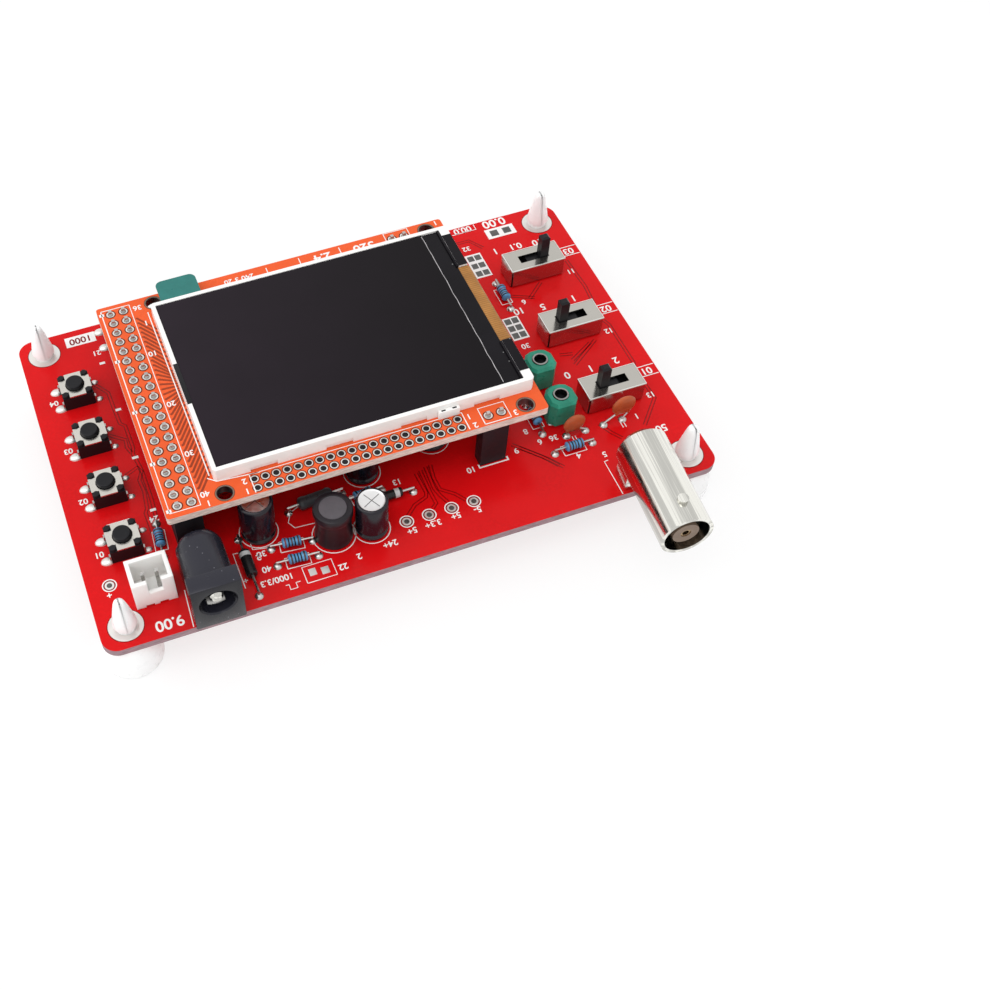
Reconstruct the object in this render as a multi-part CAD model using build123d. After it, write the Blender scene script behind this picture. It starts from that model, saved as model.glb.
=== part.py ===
from build123d import *
import os
from math import radians, sin

# Open-board pocket oscilloscope: a main board on four push-in standoffs, with a display board plugged in
# above it.  X runs along the connector edge, Y away from it, Z up.  While the pieces are made, the origin
# lies under the middle of the main board, on the surface that the feet stand on.  All sizes are in mm.

# ---------------------------------------------------------------- driving sizes
FIT = 0.1                     # clearance of a piece pushed through a hole
RUNNING = 0.15                # clearance round a piece that moves
CONTACT = 0.02                # clearance under a piece that is held down by a cover

# main board
BOARD_LENGTH = 117.0
BOARD_DEPTH = 76.0
BOARD_THICKNESS = 1.6
BOARD_CORNER = 3.0

# standoffs
FOOT_HEIGHT = 8.0
FOOT_RADIUS = 5.6
FOOT_STRAIGHT = 3.0           # height of the foot's upright side
SHOULDER_RADIUS = 4.2
NECK_RADIUS = 1.9
BARB_RADIUS = 2.15
TIP_RADIUS = 1.35
TIP_HEIGHT = 8.0
TIP_SLIT = 0.7
TIP_SLIT_START = 1.2          # above the board
BARB_HEIGHT = 0.7
FOOT_SIDES = 20
TIP_SIDES = 12
STANDOFF_INSET_X = 4.8
STANDOFF_INSET_Y = 4.5

# pin headers between the boards
PIN_PITCH = 2.54
PIN_WIDTH = 0.64
PIN_ROWS = 2
PIN_COLUMNS = 20
STRIP_WIDTH = 5.08
SOCKET_HEIGHT = 8.5
SOCKET_HOLE = 0.9
PLUG_HEIGHT = 2.5
PIN_DEPTH = 6.0               # how far a pin reaches into its socket
PIN_STANDS_PROUD = 0.9        # how far it stands out of the display board
HEADER_INSET = 3.7            # from the display board's left edge to the middle of the long strip
SUPPORT_INSET_X = 9.7         # from its right edge to the middle of the short ones
SUPPORT_INSET_Y = 2.1

# display board
DISPLAY_BOARD_LENGTH = 71.0
DISPLAY_BOARD_DEPTH = 52.8
DISPLAY_INSET_X = 16.6        # from the main board's left edge
DISPLAY_INSET_Y = 14.4        # from its near edge
DISPLAY_BOARD_CORNER = 0.6
DISPLAY_HOLE_RADIUS = 1.5
DISPLAY_HOLE_SPACING_X = 56.4
DISPLAY_HOLE_SPACING_Y = 48.6
DISPLAY_HOLE_SHIFT = 3.6      # the mounting holes sit round the display module, not the board
ARRAY_PITCH = 2.0
ARRAY_COLUMNS = 20
ARRAY_HOLE_RADIUS = 0.42
ARRAY_SHIFT = 0.1
ARRAY_INSET_Y = 2.2

# display module
MODULE_LENGTH = 60.2
MODULE_DEPTH = 42.7
MODULE_HEIGHT = 2.9
MODULE_SHIFT_X = 4.5
MODULE_SHIFT_Y = -0.1
MODULE_WALL = 0.8
MODULE_END_WALL = 1.9         # shoulder on the flex side
GLASS_THICKNESS = 0.6
POLARISER_THICKNESS = 0.5
POLARISER_BELOW_RIM = 0.1
LEDGE_LENGTH = 3.5            # strip of the lower glass that carries the driver
FLEX_WIDTH = 20.7
FLEX_THICKNESS = 0.16
FLEX_OFFSET_Y = -0.4
FLEX_OVERLAP = 0.8            # length of the flex that lies on the ledge
FLEX_BEND = 0.7
FLEX_STANDS_OFF = 0.45        # from the module's side to the middle of the flex
TAPE_THICKNESS = 0.1
TAPE_MARGIN = 0.05            # of the shoulder that shows at each side of a tape
TAPE_INSET_Y = 2.6            # from the module's near and far edges
MODULE_CORNER = 0.5
TAB_WIDTH = 7.9
TAB_LENGTH = 7.6
TAB_THICKNESS = 0.12
TAB_INSET_X = 2.2
TAB_GRIP = 1.4                # length of the tab that is stuck to the polariser
TAB_CORNER = 1.3

# tact switches
TACT_SIZE = 6.0
TACT_BASE_HEIGHT = 3.2
TACT_COVER = 0.3
TACT_STUD_RADIUS = 0.55
TACT_STUD_INSET = 0.75
TACT_STUD_PROUD = 0.25
STUD_SIDES = 6
PLUNGER_RADIUS = 1.7
PLUNGER_FLANGE = 2.2
PLUNGER_FLANGE_HEIGHT = 0.5
PLUNGER_PROUD = 0.85
PLUNGER_TRAVEL = 0.25
PLUNGER_SIDES = 16
TACT_LEG_WIDTH = 0.7
TACT_LEG_THICKNESS = 0.3
TACT_LEG_HEIGHT = 1.6
TACT_LEG_SPACING = 4.5
TACT_INSET_X = 8.8
TACT_INSET_Y = 20.8
TACT_PITCH = 12.6
TACT_ROW = 4
RESET_INSET_X = 20.5
RESET_BEHIND_DISPLAY = 4.2

# slide switches
CAN_LENGTH = 11.8
CAN_WIDTH = 5.6
CAN_HEIGHT = 4.5
CAN_SHEET = 0.3
CAN_CORNER_GAP = 0.4
CAN_EAR = 1.2
SLIDE_BODY_HEIGHT = 2.5
SLIDER_LENGTH = 6.8
SLIDER_WIDTH = 4.3
SLIDER_HEIGHT = 1.2
LEVER_LENGTH = 1.8
LEVER_WIDTH = 1.7
LEVER_PROUD = 4.9
SLIDE_TRAVEL = 4.0
SLIDE_PLAY = 0.2              # between the lever and the end of its slot
LEVER_CHAMFER = 0.35
SLIDE_INSET_X = 12.0
SLIDE_INSET_YS = (58.2, 40.3, 22.1)
SLIDE_REST = (1, -1, -1)      # which end of the slot each lever rests at

# trimmers
TRIMMER_INSET_X = 23.1
TRIMMER_INSET_YS = (30.75, 21.4)
TRIMMER_HEIGHT = 6.0
TRIMMER_ACROSS = 5.6
TRIMMER_CHAMFER = 0.5
TRIMMER_GAP_BELOW = 0.5
ROTOR_RADIUS = 1.5
ROTOR_BORE = 1.15
ROTOR_BORE_DEPTH = 1.5
ROTOR_LENGTH = 2.8
ROTOR_PROUD = 0.2
ROTOR_SLOT = 0.5
ROTOR_SLOT_DEPTH = 0.5
ROTOR_SLOT_INSET = 0.15       # from the bore's wall
ROTOR_GAP = 0.06
ROTOR_SIDES = 20

# BNC socket, made with its axis along Y and its mouth at Y = 0
BNC_RADIUS = 4.8
BNC_BORE = 4.1
BNC_BORE_DEPTH = 9.5
BNC_LENGTH = 21.4
BNC_AXIS_HEIGHT = 6.4         # above the board
BNC_END_ROUND = 1.0
BNC_LUG_RADIUS = 1.0
BNC_LUG_PROUD = 0.75
BNC_LUG_SETBACK = 4.2
BNC_LUG_ROOT = 0.3            # the part of a lug that is sunk in the barrel
BNC_LUG_SIDES = 12
BNC_BLOCK_WIDTH = 8.0
BNC_BLOCK_SETBACK = 0.5       # from the board's edge
BNC_BLOCK_BELOW_AXIS = 2.0
BNC_INSULATOR_RADIUS = 2.4
BNC_INSULATOR_SETBACK = 0.5
BNC_CONTACT_RADIUS = 0.95
BNC_CONTACT_BORE = 0.6
BNC_CONTACT_SETBACK = 0.15    # behind the insulator's face
BNC_CONTACT_BORE_DEPTH = 4.0
BNC_INSET_X = 16.55
BNC_OVERHANG = 15.6           # from the board's edge to the mouth
BNC_YAW = -4.5                # it stands slightly askew in its solder

# DC jack
JACK_WIDTH = 9.0
JACK_HEIGHT = 11.5
JACK_FACE_DEPTH = 3.4
JACK_LENGTH = 14.2
JACK_BARREL_RADIUS = 4.15
JACK_AXIS_HEIGHT = 6.5
JACK_BORE = 3.2
JACK_BORE_DEPTH = 11.0
JACK_PIN_RADIUS = 1.25
JACK_PIN_SETBACK = 0.9
JACK_PIN_TAPER = 0.4
JACK_SPRING_WIDTH = 3.2
JACK_SPRING_SHEET = 0.3
JACK_SPRING_BOW = 1.4
JACK_SLOT_DEPTH = 0.6
JACK_SLOT_START = 2.0
JACK_SLOT_END = 1.0
JACK_INSET_X = 20.7
JACK_OVERHANG = 0.7

# shrouded power header
SHROUD_LENGTH = 7.4
SHROUD_DEPTH = 5.8
SHROUD_HEIGHT = 7.0
SHROUD_WALL = 0.75
SHROUD_FLOOR = 1.2
SHROUD_SLOT = 1.5
SHROUD_SLOT_HEIGHT = 0.45
SHROUD_KEY = 2.6
SHROUD_PIN_PITCH = 2.5
SHROUD_PIN_HEIGHT = 6.0
SHROUD_INSET_X = 11.2
SHROUD_INSET_Y = 9.8
SHROUD_KEY_DEPTH = 3.2
SHROUD_KEY_SHIFT = 0.3

# components
LEAD = 0.5                    # wire of the larger parts
THIN_LEAD = 0.44              # wire of the resistors and discs
RESISTOR_LENGTH = 3.5
RESISTOR_RADIUS = 0.95
RESISTOR_SPAN = 7.6
LYING_GAP = 0.15              # under a body that lies on the board
DISC_THICKNESS = 1.4
DISC_LEAD_SPACING = 3.9
DISC_LEAD_SPREAD = 0.3        # where the leads meet the disc, as shares of its diameter
DISC_LEAD_RISE = 0.46
CHIP_STANDOFF = 0.1
CAN_SIDES = 24                # facets of the upright cans and the discs
AXIAL_SIDES = 12              # facets of the parts that lie down
SMALL_HOLE_SIDES = 4          # plated holes of well under a millimetre

BOARD_BOTTOM = FOOT_HEIGHT
BOARD_TOP = BOARD_BOTTOM + BOARD_THICKNESS
DISPLAY_BOTTOM = BOARD_TOP + SOCKET_HEIGHT + PLUG_HEIGHT
DISPLAY_TOP = DISPLAY_BOTTOM + BOARD_THICKNESS
LEFT_EDGE = -BOARD_LENGTH / 2
RIGHT_EDGE = BOARD_LENGTH / 2
NEAR_EDGE = -BOARD_DEPTH / 2
DISPLAY_NEAR_EDGE = NEAR_EDGE + DISPLAY_INSET_Y
DISPLAY_FAR_EDGE = DISPLAY_NEAR_EDGE + DISPLAY_BOARD_DEPTH
DISPLAY_LEFT_EDGE = LEFT_EDGE + DISPLAY_INSET_X
DISPLAY_RIGHT_EDGE = DISPLAY_LEFT_EDGE + DISPLAY_BOARD_LENGTH
DISPLAY_BOARD_X = (DISPLAY_LEFT_EDGE + DISPLAY_RIGHT_EDGE) / 2
DISPLAY_BOARD_Y = (DISPLAY_NEAR_EDGE + DISPLAY_FAR_EDGE) / 2
DISPLAY_HOLES_X = DISPLAY_BOARD_X + DISPLAY_HOLE_SHIFT
ARRAY_X = DISPLAY_BOARD_X + ARRAY_SHIFT
MODULE_X = DISPLAY_BOARD_X + MODULE_SHIFT_X
MODULE_Y = DISPLAY_BOARD_Y + MODULE_SHIFT_Y
HEADER_X = DISPLAY_LEFT_EDGE + HEADER_INSET
SUPPORT_X = DISPLAY_RIGHT_EDGE - SUPPORT_INSET_X

# The finished part's origin is the middle of its footprint, which runs from the BNC socket's mouth to
# the feet under the far edge.
BNC_MOUTH_Y = NEAR_EDGE - BNC_OVERHANG
BNC_REACH = BNC_MOUTH_Y - BNC_RADIUS * sin(radians(abs(BNC_YAW)))
FOOT_REACH = BOARD_DEPTH / 2 - STANDOFF_INSET_Y + FOOT_RADIUS
FOOTPRINT_MIDDLE = (BNC_REACH + FOOT_REACH) / 2

NODES = {}


def keep(name, *solids):
    """Put the solids under one node name, moved so that the origin is the middle of the footprint."""
    moved = [Pos(0, -FOOTPRINT_MIDDLE, 0) * solid for solid in solids]
    NODES[name] = moved[0] if len(moved) == 1 else Compound(children=moved)


def block(length, width, height, x=0.0, y=0.0, z=0.0):
    """A box that stands on height z, centred on x and y."""
    return Pos(x, y, z) * Box(length, width, height, align=(Align.CENTER, Align.CENTER, Align.MIN))


def rod(radius, height, x=0.0, y=0.0, z=0.0):
    """An upright cylinder that stands on height z."""
    return Pos(x, y, z) * Cylinder(radius, height, align=(Align.CENTER, Align.CENTER, Align.MIN))


def faceted(radius, height, sides, x=0.0, y=0.0, z=0.0):
    """An upright many-sided prism, for round pieces that repeat."""
    return Pos(x, y, z) * extrude(RegularPolygon(radius, sides), height)


def tapered(radius, top_radius, height, sides, z=0.0):
    """A many-sided piece that narrows from one radius to another."""
    low = Pos(0, 0, z) * RegularPolygon(radius, sides)
    high = Pos(0, 0, z + height) * RegularPolygon(top_radius, sides)
    return loft([low, high], ruled=True)


def turned(points):
    """A solid turned about Z from a closed outline of radius and height points."""
    outline = make_face(Polyline(*[(radius, 0, height) for radius, height in points], close=True))
    return revolve(outline, Axis.Z)


def wire(points, diameter):
    """A round lead through the points, drawn six-sided, with mitred bends."""
    path = Polyline(*points)
    section = Plane(origin=points[0], z_dir=path % 0) * RegularPolygon(diameter / 2, 6)
    return sweep(section, path, transition=Transition.RIGHT)


def pin_places(columns, pitch, rows=PIN_ROWS, row_pitch=None):
    """Places of a pin grid, columns along Y and rows along X, about its own middle."""
    row_pitch = row_pitch or pitch
    return [
        ((row - (rows - 1) / 2) * row_pitch, (column - (columns - 1) / 2) * pitch)
        for row in range(rows)
        for column in range(columns)
    ]


# ---------------------------------------------------------------- places that several pieces share
standoff_places = [
    (side_x * (BOARD_LENGTH / 2 - STANDOFF_INSET_X), side_y * (BOARD_DEPTH / 2 - STANDOFF_INSET_Y))
    for side_x in (-1, 1)
    for side_y in (-1, 1)
]

header_pins = [(HEADER_X + x, DISPLAY_BOARD_Y + y) for x, y in pin_places(PIN_COLUMNS, PIN_PITCH)]
SUPPORT_REACH = DISPLAY_BOARD_DEPTH / 2 - SUPPORT_INSET_Y
support_middles = [(SUPPORT_X, DISPLAY_BOARD_Y + side * SUPPORT_REACH) for side in (-1, 1)]
support_pins = [
    (x + side * PIN_PITCH / 2, y) for x, y in support_middles for side in (-1, 1)
]

tact_places = [
    (LEFT_EDGE + TACT_INSET_X, NEAR_EDGE + TACT_INSET_Y + k * TACT_PITCH) for k in range(TACT_ROW)
]
tact_places.append((LEFT_EDGE + RESET_INSET_X, DISPLAY_FAR_EDGE + RESET_BEHIND_DISPLAY))

TEST_POINT_RADIUS = 0.5
TEST_POINT_PITCH = 4.36
TEST_POINT_ROW = 4
TEST_POINT_INSET_X = 58.1
TEST_POINT_INSET_Y = 8.15
LONE_POINT_INSET_X = 4.1
LONE_POINT_INSET_Y = 13.5
test_points = [
    (LEFT_EDGE + TEST_POINT_INSET_X + k * TEST_POINT_PITCH, NEAR_EDGE + TEST_POINT_INSET_Y)
    for k in range(TEST_POINT_ROW)
]
test_points.append((LEFT_EDGE + LONE_POINT_INSET_X, NEAR_EDGE + LONE_POINT_INSET_Y))


# ---------------------------------------------------------------- main board and standoffs
def main_board():
    board = extrude(RectangleRounded(BOARD_LENGTH, BOARD_DEPTH, BOARD_CORNER), BOARD_THICKNESS)
    board = Pos(0, 0, BOARD_BOTTOM) * board
    holes = [
        faceted(NECK_RADIUS + FIT, BOARD_THICKNESS, TIP_SIDES, x, y, BOARD_BOTTOM)
        for x, y in standoff_places
    ]
    holes += [
        faceted(TEST_POINT_RADIUS, BOARD_THICKNESS, SMALL_HOLE_SIDES, x, y, BOARD_BOTTOM)
        for x, y in test_points
    ]
    return board - holes


def standoff():
    """Wide foot, neck through the board and a split bullet tip that snaps over the board's top."""
    tip_start = BOARD_TOP + CONTACT
    barb_top = tip_start + BARB_HEIGHT
    body = faceted(FOOT_RADIUS, FOOT_STRAIGHT, FOOT_SIDES)
    body += tapered(FOOT_RADIUS, SHOULDER_RADIUS, BOARD_BOTTOM - FOOT_STRAIGHT, FOOT_SIDES, FOOT_STRAIGHT)
    body += faceted(NECK_RADIUS, tip_start - BOARD_BOTTOM, TIP_SIDES, z=BOARD_BOTTOM)
    body += faceted(BARB_RADIUS, BARB_HEIGHT, TIP_SIDES, z=tip_start)
    body += tapered(BARB_RADIUS, TIP_RADIUS, BOARD_TOP + TIP_HEIGHT - barb_top, TIP_SIDES, barb_top)
    slit = block(TIP_SLIT, 3 * BARB_RADIUS, TIP_HEIGHT, z=BOARD_TOP + TIP_SLIT_START)
    return body - slit


keep("main_board", main_board())
keep("standoffs", *[Pos(x, y, 0) * standoff() for x, y in standoff_places])


# ---------------------------------------------------------------- display board and its headers
def display_board():
    outline = RectangleRounded(DISPLAY_BOARD_LENGTH, DISPLAY_BOARD_DEPTH, DISPLAY_BOARD_CORNER)
    outline = Pos(DISPLAY_BOARD_X, DISPLAY_BOARD_Y) * outline
    mounting = [
        Pos(DISPLAY_HOLES_X + side_x * DISPLAY_HOLE_SPACING_X / 2,
            DISPLAY_BOARD_Y + side_y * DISPLAY_HOLE_SPACING_Y / 2) * Circle(DISPLAY_HOLE_RADIUS)
        for side_x in (-1, 1)
        for side_y in (-1, 1)
    ]
    pin_holes = [
        Pos(x, y) * Rectangle(PIN_WIDTH + FIT, PIN_WIDTH + FIT) for x, y in header_pins + support_pins
    ]
    array = [
        Pos(ARRAY_X + (column - (ARRAY_COLUMNS - 1) / 2) * ARRAY_PITCH,
            DISPLAY_NEAR_EDGE + ARRAY_INSET_Y + row * ARRAY_PITCH - ARRAY_PITCH / 2)
        * RegularPolygon(ARRAY_HOLE_RADIUS, SMALL_HOLE_SIDES)
        for column in range(ARRAY_COLUMNS)
        for row in (0, 1)
    ]
    return Pos(0, 0, DISPLAY_BOTTOM) * extrude(outline - mounting - pin_holes - array, BOARD_THICKNESS)


def strip(middle, pins, length_x, length_y, height, z, hole):
    """A moulded header strip with a square hole for each pin."""
    x, y = middle
    outline = Pos(x, y) * Rectangle(length_x, length_y)
    holes = [Pos(px, py) * Rectangle(hole, hole) for px, py in pins]
    return Pos(0, 0, z) * extrude(outline - holes, height)


def header_strips(height, z, hole):
    """The long strip at the left and the two short ones that support the right-hand side."""
    long_strip = strip((HEADER_X, DISPLAY_BOARD_Y), header_pins, STRIP_WIDTH,
                       PIN_COLUMNS * PIN_PITCH, height, z, hole)
    short_strips = [
        strip(middle, support_pins[2 * k:2 * k + 2], 2 * PIN_PITCH, PIN_PITCH, height, z, hole)
        for k, middle in enumerate(support_middles)
    ]
    return [long_strip] + short_strips


keep("display_board", display_board())
keep("header_sockets", *header_strips(SOCKET_HEIGHT, BOARD_TOP, SOCKET_HOLE))
keep("header_plugs", *header_strips(PLUG_HEIGHT, BOARD_TOP + SOCKET_HEIGHT, PIN_WIDTH + FIT))
PIN_BOTTOM = BOARD_TOP + SOCKET_HEIGHT - PIN_DEPTH
PIN_LENGTH = DISPLAY_TOP + PIN_STANDS_PROUD - PIN_BOTTOM
keep("header_pins", *[
    block(PIN_WIDTH, PIN_WIDTH, PIN_LENGTH, x, y, PIN_BOTTOM) for x, y in header_pins + support_pins
])

# ---------------------------------------------------------------- display module
MODULE_LEFT = MODULE_X - MODULE_LENGTH / 2
MODULE_RIGHT = MODULE_X + MODULE_LENGTH / 2
RIM_TOP = DISPLAY_TOP + MODULE_HEIGHT
POLARISER_TOP = RIM_TOP - POLARISER_BELOW_RIM
GLASS_TOP = POLARISER_TOP - POLARISER_THICKNESS
TRAY_FLOOR = GLASS_TOP - GLASS_THICKNESS
GLASS_LEFT = MODULE_LEFT + MODULE_WALL + FIT
GLASS_RIGHT = MODULE_RIGHT - MODULE_END_WALL - FIT
GLASS_DEPTH = MODULE_DEPTH - 2 * MODULE_WALL - 2 * FIT
POLARISER_RIGHT = GLASS_RIGHT - LEDGE_LENGTH
FLEX_Y = MODULE_Y + FLEX_OFFSET_Y
CLIP_LENGTH = 5.0
CLIP_PITCH = 14.0
CLIP_HEIGHT = 1.1
CLIP_DEPTH = 0.35


def display_frame():
    """Moulded tray: a floor under the glass, a rim round it, and a gap in the rim where the flex leaves."""
    tray = block(MODULE_LENGTH, MODULE_DEPTH, MODULE_HEIGHT, MODULE_X, MODULE_Y, DISPLAY_TOP)
    tray = chamfer(tray.edges().filter_by(Axis.Z), MODULE_CORNER)
    recess_length = GLASS_RIGHT + FIT - (MODULE_LEFT + MODULE_WALL)
    recess_x = (GLASS_RIGHT + FIT + MODULE_LEFT + MODULE_WALL) / 2
    tray -= block(recess_length, MODULE_DEPTH - 2 * MODULE_WALL, MODULE_HEIGHT,
                  recess_x, MODULE_Y, TRAY_FLOOR)
    tray -= block(2 * MODULE_END_WALL, FLEX_WIDTH + 2 * FIT, MODULE_HEIGHT,
                  MODULE_RIGHT, FLEX_Y, GLASS_TOP - FIT)
    for side in (-1, 1):
        face_y = MODULE_Y + side * MODULE_DEPTH / 2
        for step in (-1.5, -0.5, 0.5, 1.5):
            tray -= block(CLIP_LENGTH, 2 * CLIP_DEPTH, CLIP_HEIGHT,
                          MODULE_X + step * CLIP_PITCH, face_y, DISPLAY_TOP)
    return tray


def display_flex():
    """Flex that leaves the driver ledge, lies over the shoulder and folds down to the display board."""
    z_flat = GLASS_TOP + FLEX_THICKNESS / 2
    x_down = MODULE_RIGHT + FLEX_STANDS_OFF
    path = FilletPolyline(
        (GLASS_RIGHT - FLEX_OVERLAP, FLEX_Y, z_flat),
        (x_down, FLEX_Y, z_flat),
        (x_down, FLEX_Y, DISPLAY_TOP),
        radius=FLEX_BEND,
    )
    start = Plane(origin=path @ 0, x_dir=(0, 1, 0), z_dir=path % 0)
    return sweep(start * Rectangle(FLEX_WIDTH, FLEX_THICKNESS), path)


def display_tapes():
    """Black tape over the driver ledge, and one over the shoulder at each side of the flex."""
    length = MODULE_END_WALL - 2 * TAPE_MARGIN
    x = MODULE_RIGHT - MODULE_END_WALL / 2
    ledge_length = GLASS_RIGHT - POLARISER_RIGHT - 2 * TAPE_MARGIN
    ledge_z = GLASS_TOP + FLEX_THICKNESS + CONTACT
    ledge_x = (GLASS_RIGHT + POLARISER_RIGHT) / 2
    made = [block(ledge_length, GLASS_DEPTH, TAPE_THICKNESS, ledge_x, MODULE_Y, ledge_z)]
    for side in (-1, 1):
        inner = FLEX_Y + side * FLEX_WIDTH / 2
        outer = MODULE_Y + side * (MODULE_DEPTH / 2 - TAPE_INSET_Y)
        made.append(block(length, abs(outer - inner), TAPE_THICKNESS, x, (outer + inner) / 2, RIM_TOP))
    return made


def film_pull_tab():
    """Film tab stuck to the polariser, with its free corners rounded."""
    far = MODULE_Y + GLASS_DEPTH / 2 - TAB_GRIP + TAB_LENGTH
    x = MODULE_LEFT + TAB_INSET_X + TAB_WIDTH / 2
    tab = block(TAB_WIDTH, TAB_LENGTH, TAB_THICKNESS, x, far - TAB_LENGTH / 2, RIM_TOP)
    return fillet(tab.edges().filter_by(Axis.Z).group_by(Axis.Y)[-1], TAB_CORNER)


keep("display_frame", display_frame())
keep("display_lower_glass", block(
    GLASS_RIGHT - GLASS_LEFT, GLASS_DEPTH, GLASS_THICKNESS,
    (GLASS_LEFT + GLASS_RIGHT) / 2, MODULE_Y, TRAY_FLOOR))
keep("display_upper_glass", block(
    POLARISER_RIGHT - GLASS_LEFT, GLASS_DEPTH, POLARISER_THICKNESS,
    (GLASS_LEFT + POLARISER_RIGHT) / 2, MODULE_Y, GLASS_TOP))
keep("display_flex", display_flex())
keep("display_tapes", *display_tapes())
keep("film_pull_tab", film_pull_tab())


# ---------------------------------------------------------------- tact switches
STUD_REACH = TACT_SIZE / 2 - TACT_STUD_INSET
stud_places = [(sx * STUD_REACH, sy * STUD_REACH) for sx in (-1, 1) for sy in (-1, 1)]


def tact_base():
    """Black base with a well for the plunger and four studs that rivet the cover down."""
    base = block(TACT_SIZE, TACT_SIZE, TACT_BASE_HEIGHT)
    well_depth = PLUNGER_FLANGE_HEIGHT + 2 * PLUNGER_TRAVEL
    well = RegularPolygon(PLUNGER_FLANGE + RUNNING, 8, major_radius=False)
    base -= Pos(0, 0, TACT_BASE_HEIGHT - well_depth) * extrude(well, well_depth)
    stud = faceted(TACT_STUD_RADIUS, TACT_COVER + TACT_STUD_PROUD, STUD_SIDES)
    return base + [Pos(x, y, TACT_BASE_HEIGHT) * stud for x, y in stud_places]


def tact_cover():
    """Plated cover, open round the plunger and cut away at the corners round the studs."""
    opening = RegularPolygon(PLUNGER_RADIUS + RUNNING, PLUNGER_SIDES, major_radius=False)
    plate = Rectangle(TACT_SIZE, TACT_SIZE) - opening
    notch = TACT_STUD_INSET + TACT_STUD_RADIUS + FIT
    corner = TACT_SIZE / 2 - notch / 2
    for x, y in stud_places:
        plate -= Pos(x / STUD_REACH * corner, y / STUD_REACH * corner) * Rectangle(notch, notch)
    return Pos(0, 0, TACT_BASE_HEIGHT) * extrude(plate, TACT_COVER)


def tact_plunger():
    """Plunger on an eight-sided flange that the cover holds down."""
    top = TACT_BASE_HEIGHT + TACT_COVER + PLUNGER_PROUD
    flange_top = TACT_BASE_HEIGHT - CONTACT
    flange_bottom = flange_top - PLUNGER_FLANGE_HEIGHT
    flange = Pos(0, 0, flange_bottom) * extrude(RegularPolygon(PLUNGER_FLANGE, 8), PLUNGER_FLANGE_HEIGHT)
    return flange + faceted(PLUNGER_RADIUS, top - flange_top, PLUNGER_SIDES, z=flange_top)


def tact_legs():
    x = TACT_SIZE / 2 + TACT_LEG_THICKNESS / 2
    return [
        block(TACT_LEG_THICKNESS, TACT_LEG_WIDTH, TACT_LEG_HEIGHT, sx * x, sy * TACT_LEG_SPACING / 2)
        for sx in (-1, 1)
        for sy in (-1, 1)
    ]


tact_seats = [Pos(x, y, BOARD_TOP) for x, y in tact_places]
for k, seat in enumerate(tact_seats, start=1):
    keep(f"button_plunger_{k}", seat * tact_plunger())
keep("button_bases", *[seat * tact_base() for seat in tact_seats])
keep("button_covers", *[seat * tact_cover() for seat in tact_seats])
keep("button_legs", *[seat * leg for seat in tact_seats for leg in tact_legs()])


# ---------------------------------------------------------------- slide switches
SLOT_LENGTH = SLIDE_TRAVEL + LEVER_LENGTH + 2 * SLIDE_PLAY
SLOT_WIDTH = LEVER_WIDTH + 2 * RUNNING
SLIDER_BOTTOM = SLIDE_BODY_HEIGHT + RUNNING


def slide_can():
    """Steel box folded from one sheet: open below, with gaps at the upright corners and ears at the ends."""
    can = block(CAN_LENGTH, CAN_WIDTH, CAN_HEIGHT - CAN_EAR / 4, z=CAN_EAR / 4)
    can = chamfer(can.faces().sort_by(Axis.Z)[-1].edges(), CAN_SHEET / 2)
    can -= block(CAN_LENGTH - 2 * CAN_SHEET, CAN_WIDTH - 2 * CAN_SHEET, CAN_HEIGHT - CAN_SHEET)
    can -= block(SLOT_LENGTH, SLOT_WIDTH, CAN_HEIGHT + 1)
    for sx in (-1, 1):
        for sy in (-1, 1):
            can -= block(2 * CAN_CORNER_GAP, 2 * CAN_CORNER_GAP, CAN_HEIGHT - CAN_SHEET,
                         sx * CAN_LENGTH / 2, sy * CAN_WIDTH / 2)
        can += block(CAN_SHEET, CAN_EAR, CAN_EAR, sx * (CAN_LENGTH - CAN_SHEET) / 2)
    return can


def slide_body():
    return block(CAN_LENGTH - 2 * CAN_SHEET, CAN_WIDTH - 2 * CAN_SHEET, SLIDE_BODY_HEIGHT)


def slide_lever():
    """Slider plate inside the can with the lever that stands out of the slot."""
    plate = block(SLIDER_LENGTH, SLIDER_WIDTH, SLIDER_HEIGHT, z=SLIDER_BOTTOM)
    lever_height = CAN_HEIGHT + LEVER_PROUD - SLIDER_BOTTOM
    lever = block(LEVER_LENGTH, LEVER_WIDTH, lever_height, z=SLIDER_BOTTOM)
    lever = chamfer(lever.faces().sort_by(Axis.Z)[-1].edges(), LEVER_CHAMFER)
    return plate + lever


slide_seats = [Pos(RIGHT_EDGE - SLIDE_INSET_X, NEAR_EDGE + y, BOARD_TOP) for y in SLIDE_INSET_YS]
for k, (seat, side) in enumerate(zip(slide_seats, SLIDE_REST), start=1):
    keep(f"slide_lever_{k}", seat * Pos(side * SLIDE_TRAVEL / 2, 0, 0) * slide_lever())
keep("slide_cans", *[seat * slide_can() for seat in slide_seats])
keep("slide_bodies", *[seat * slide_body() for seat in slide_seats])


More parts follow.
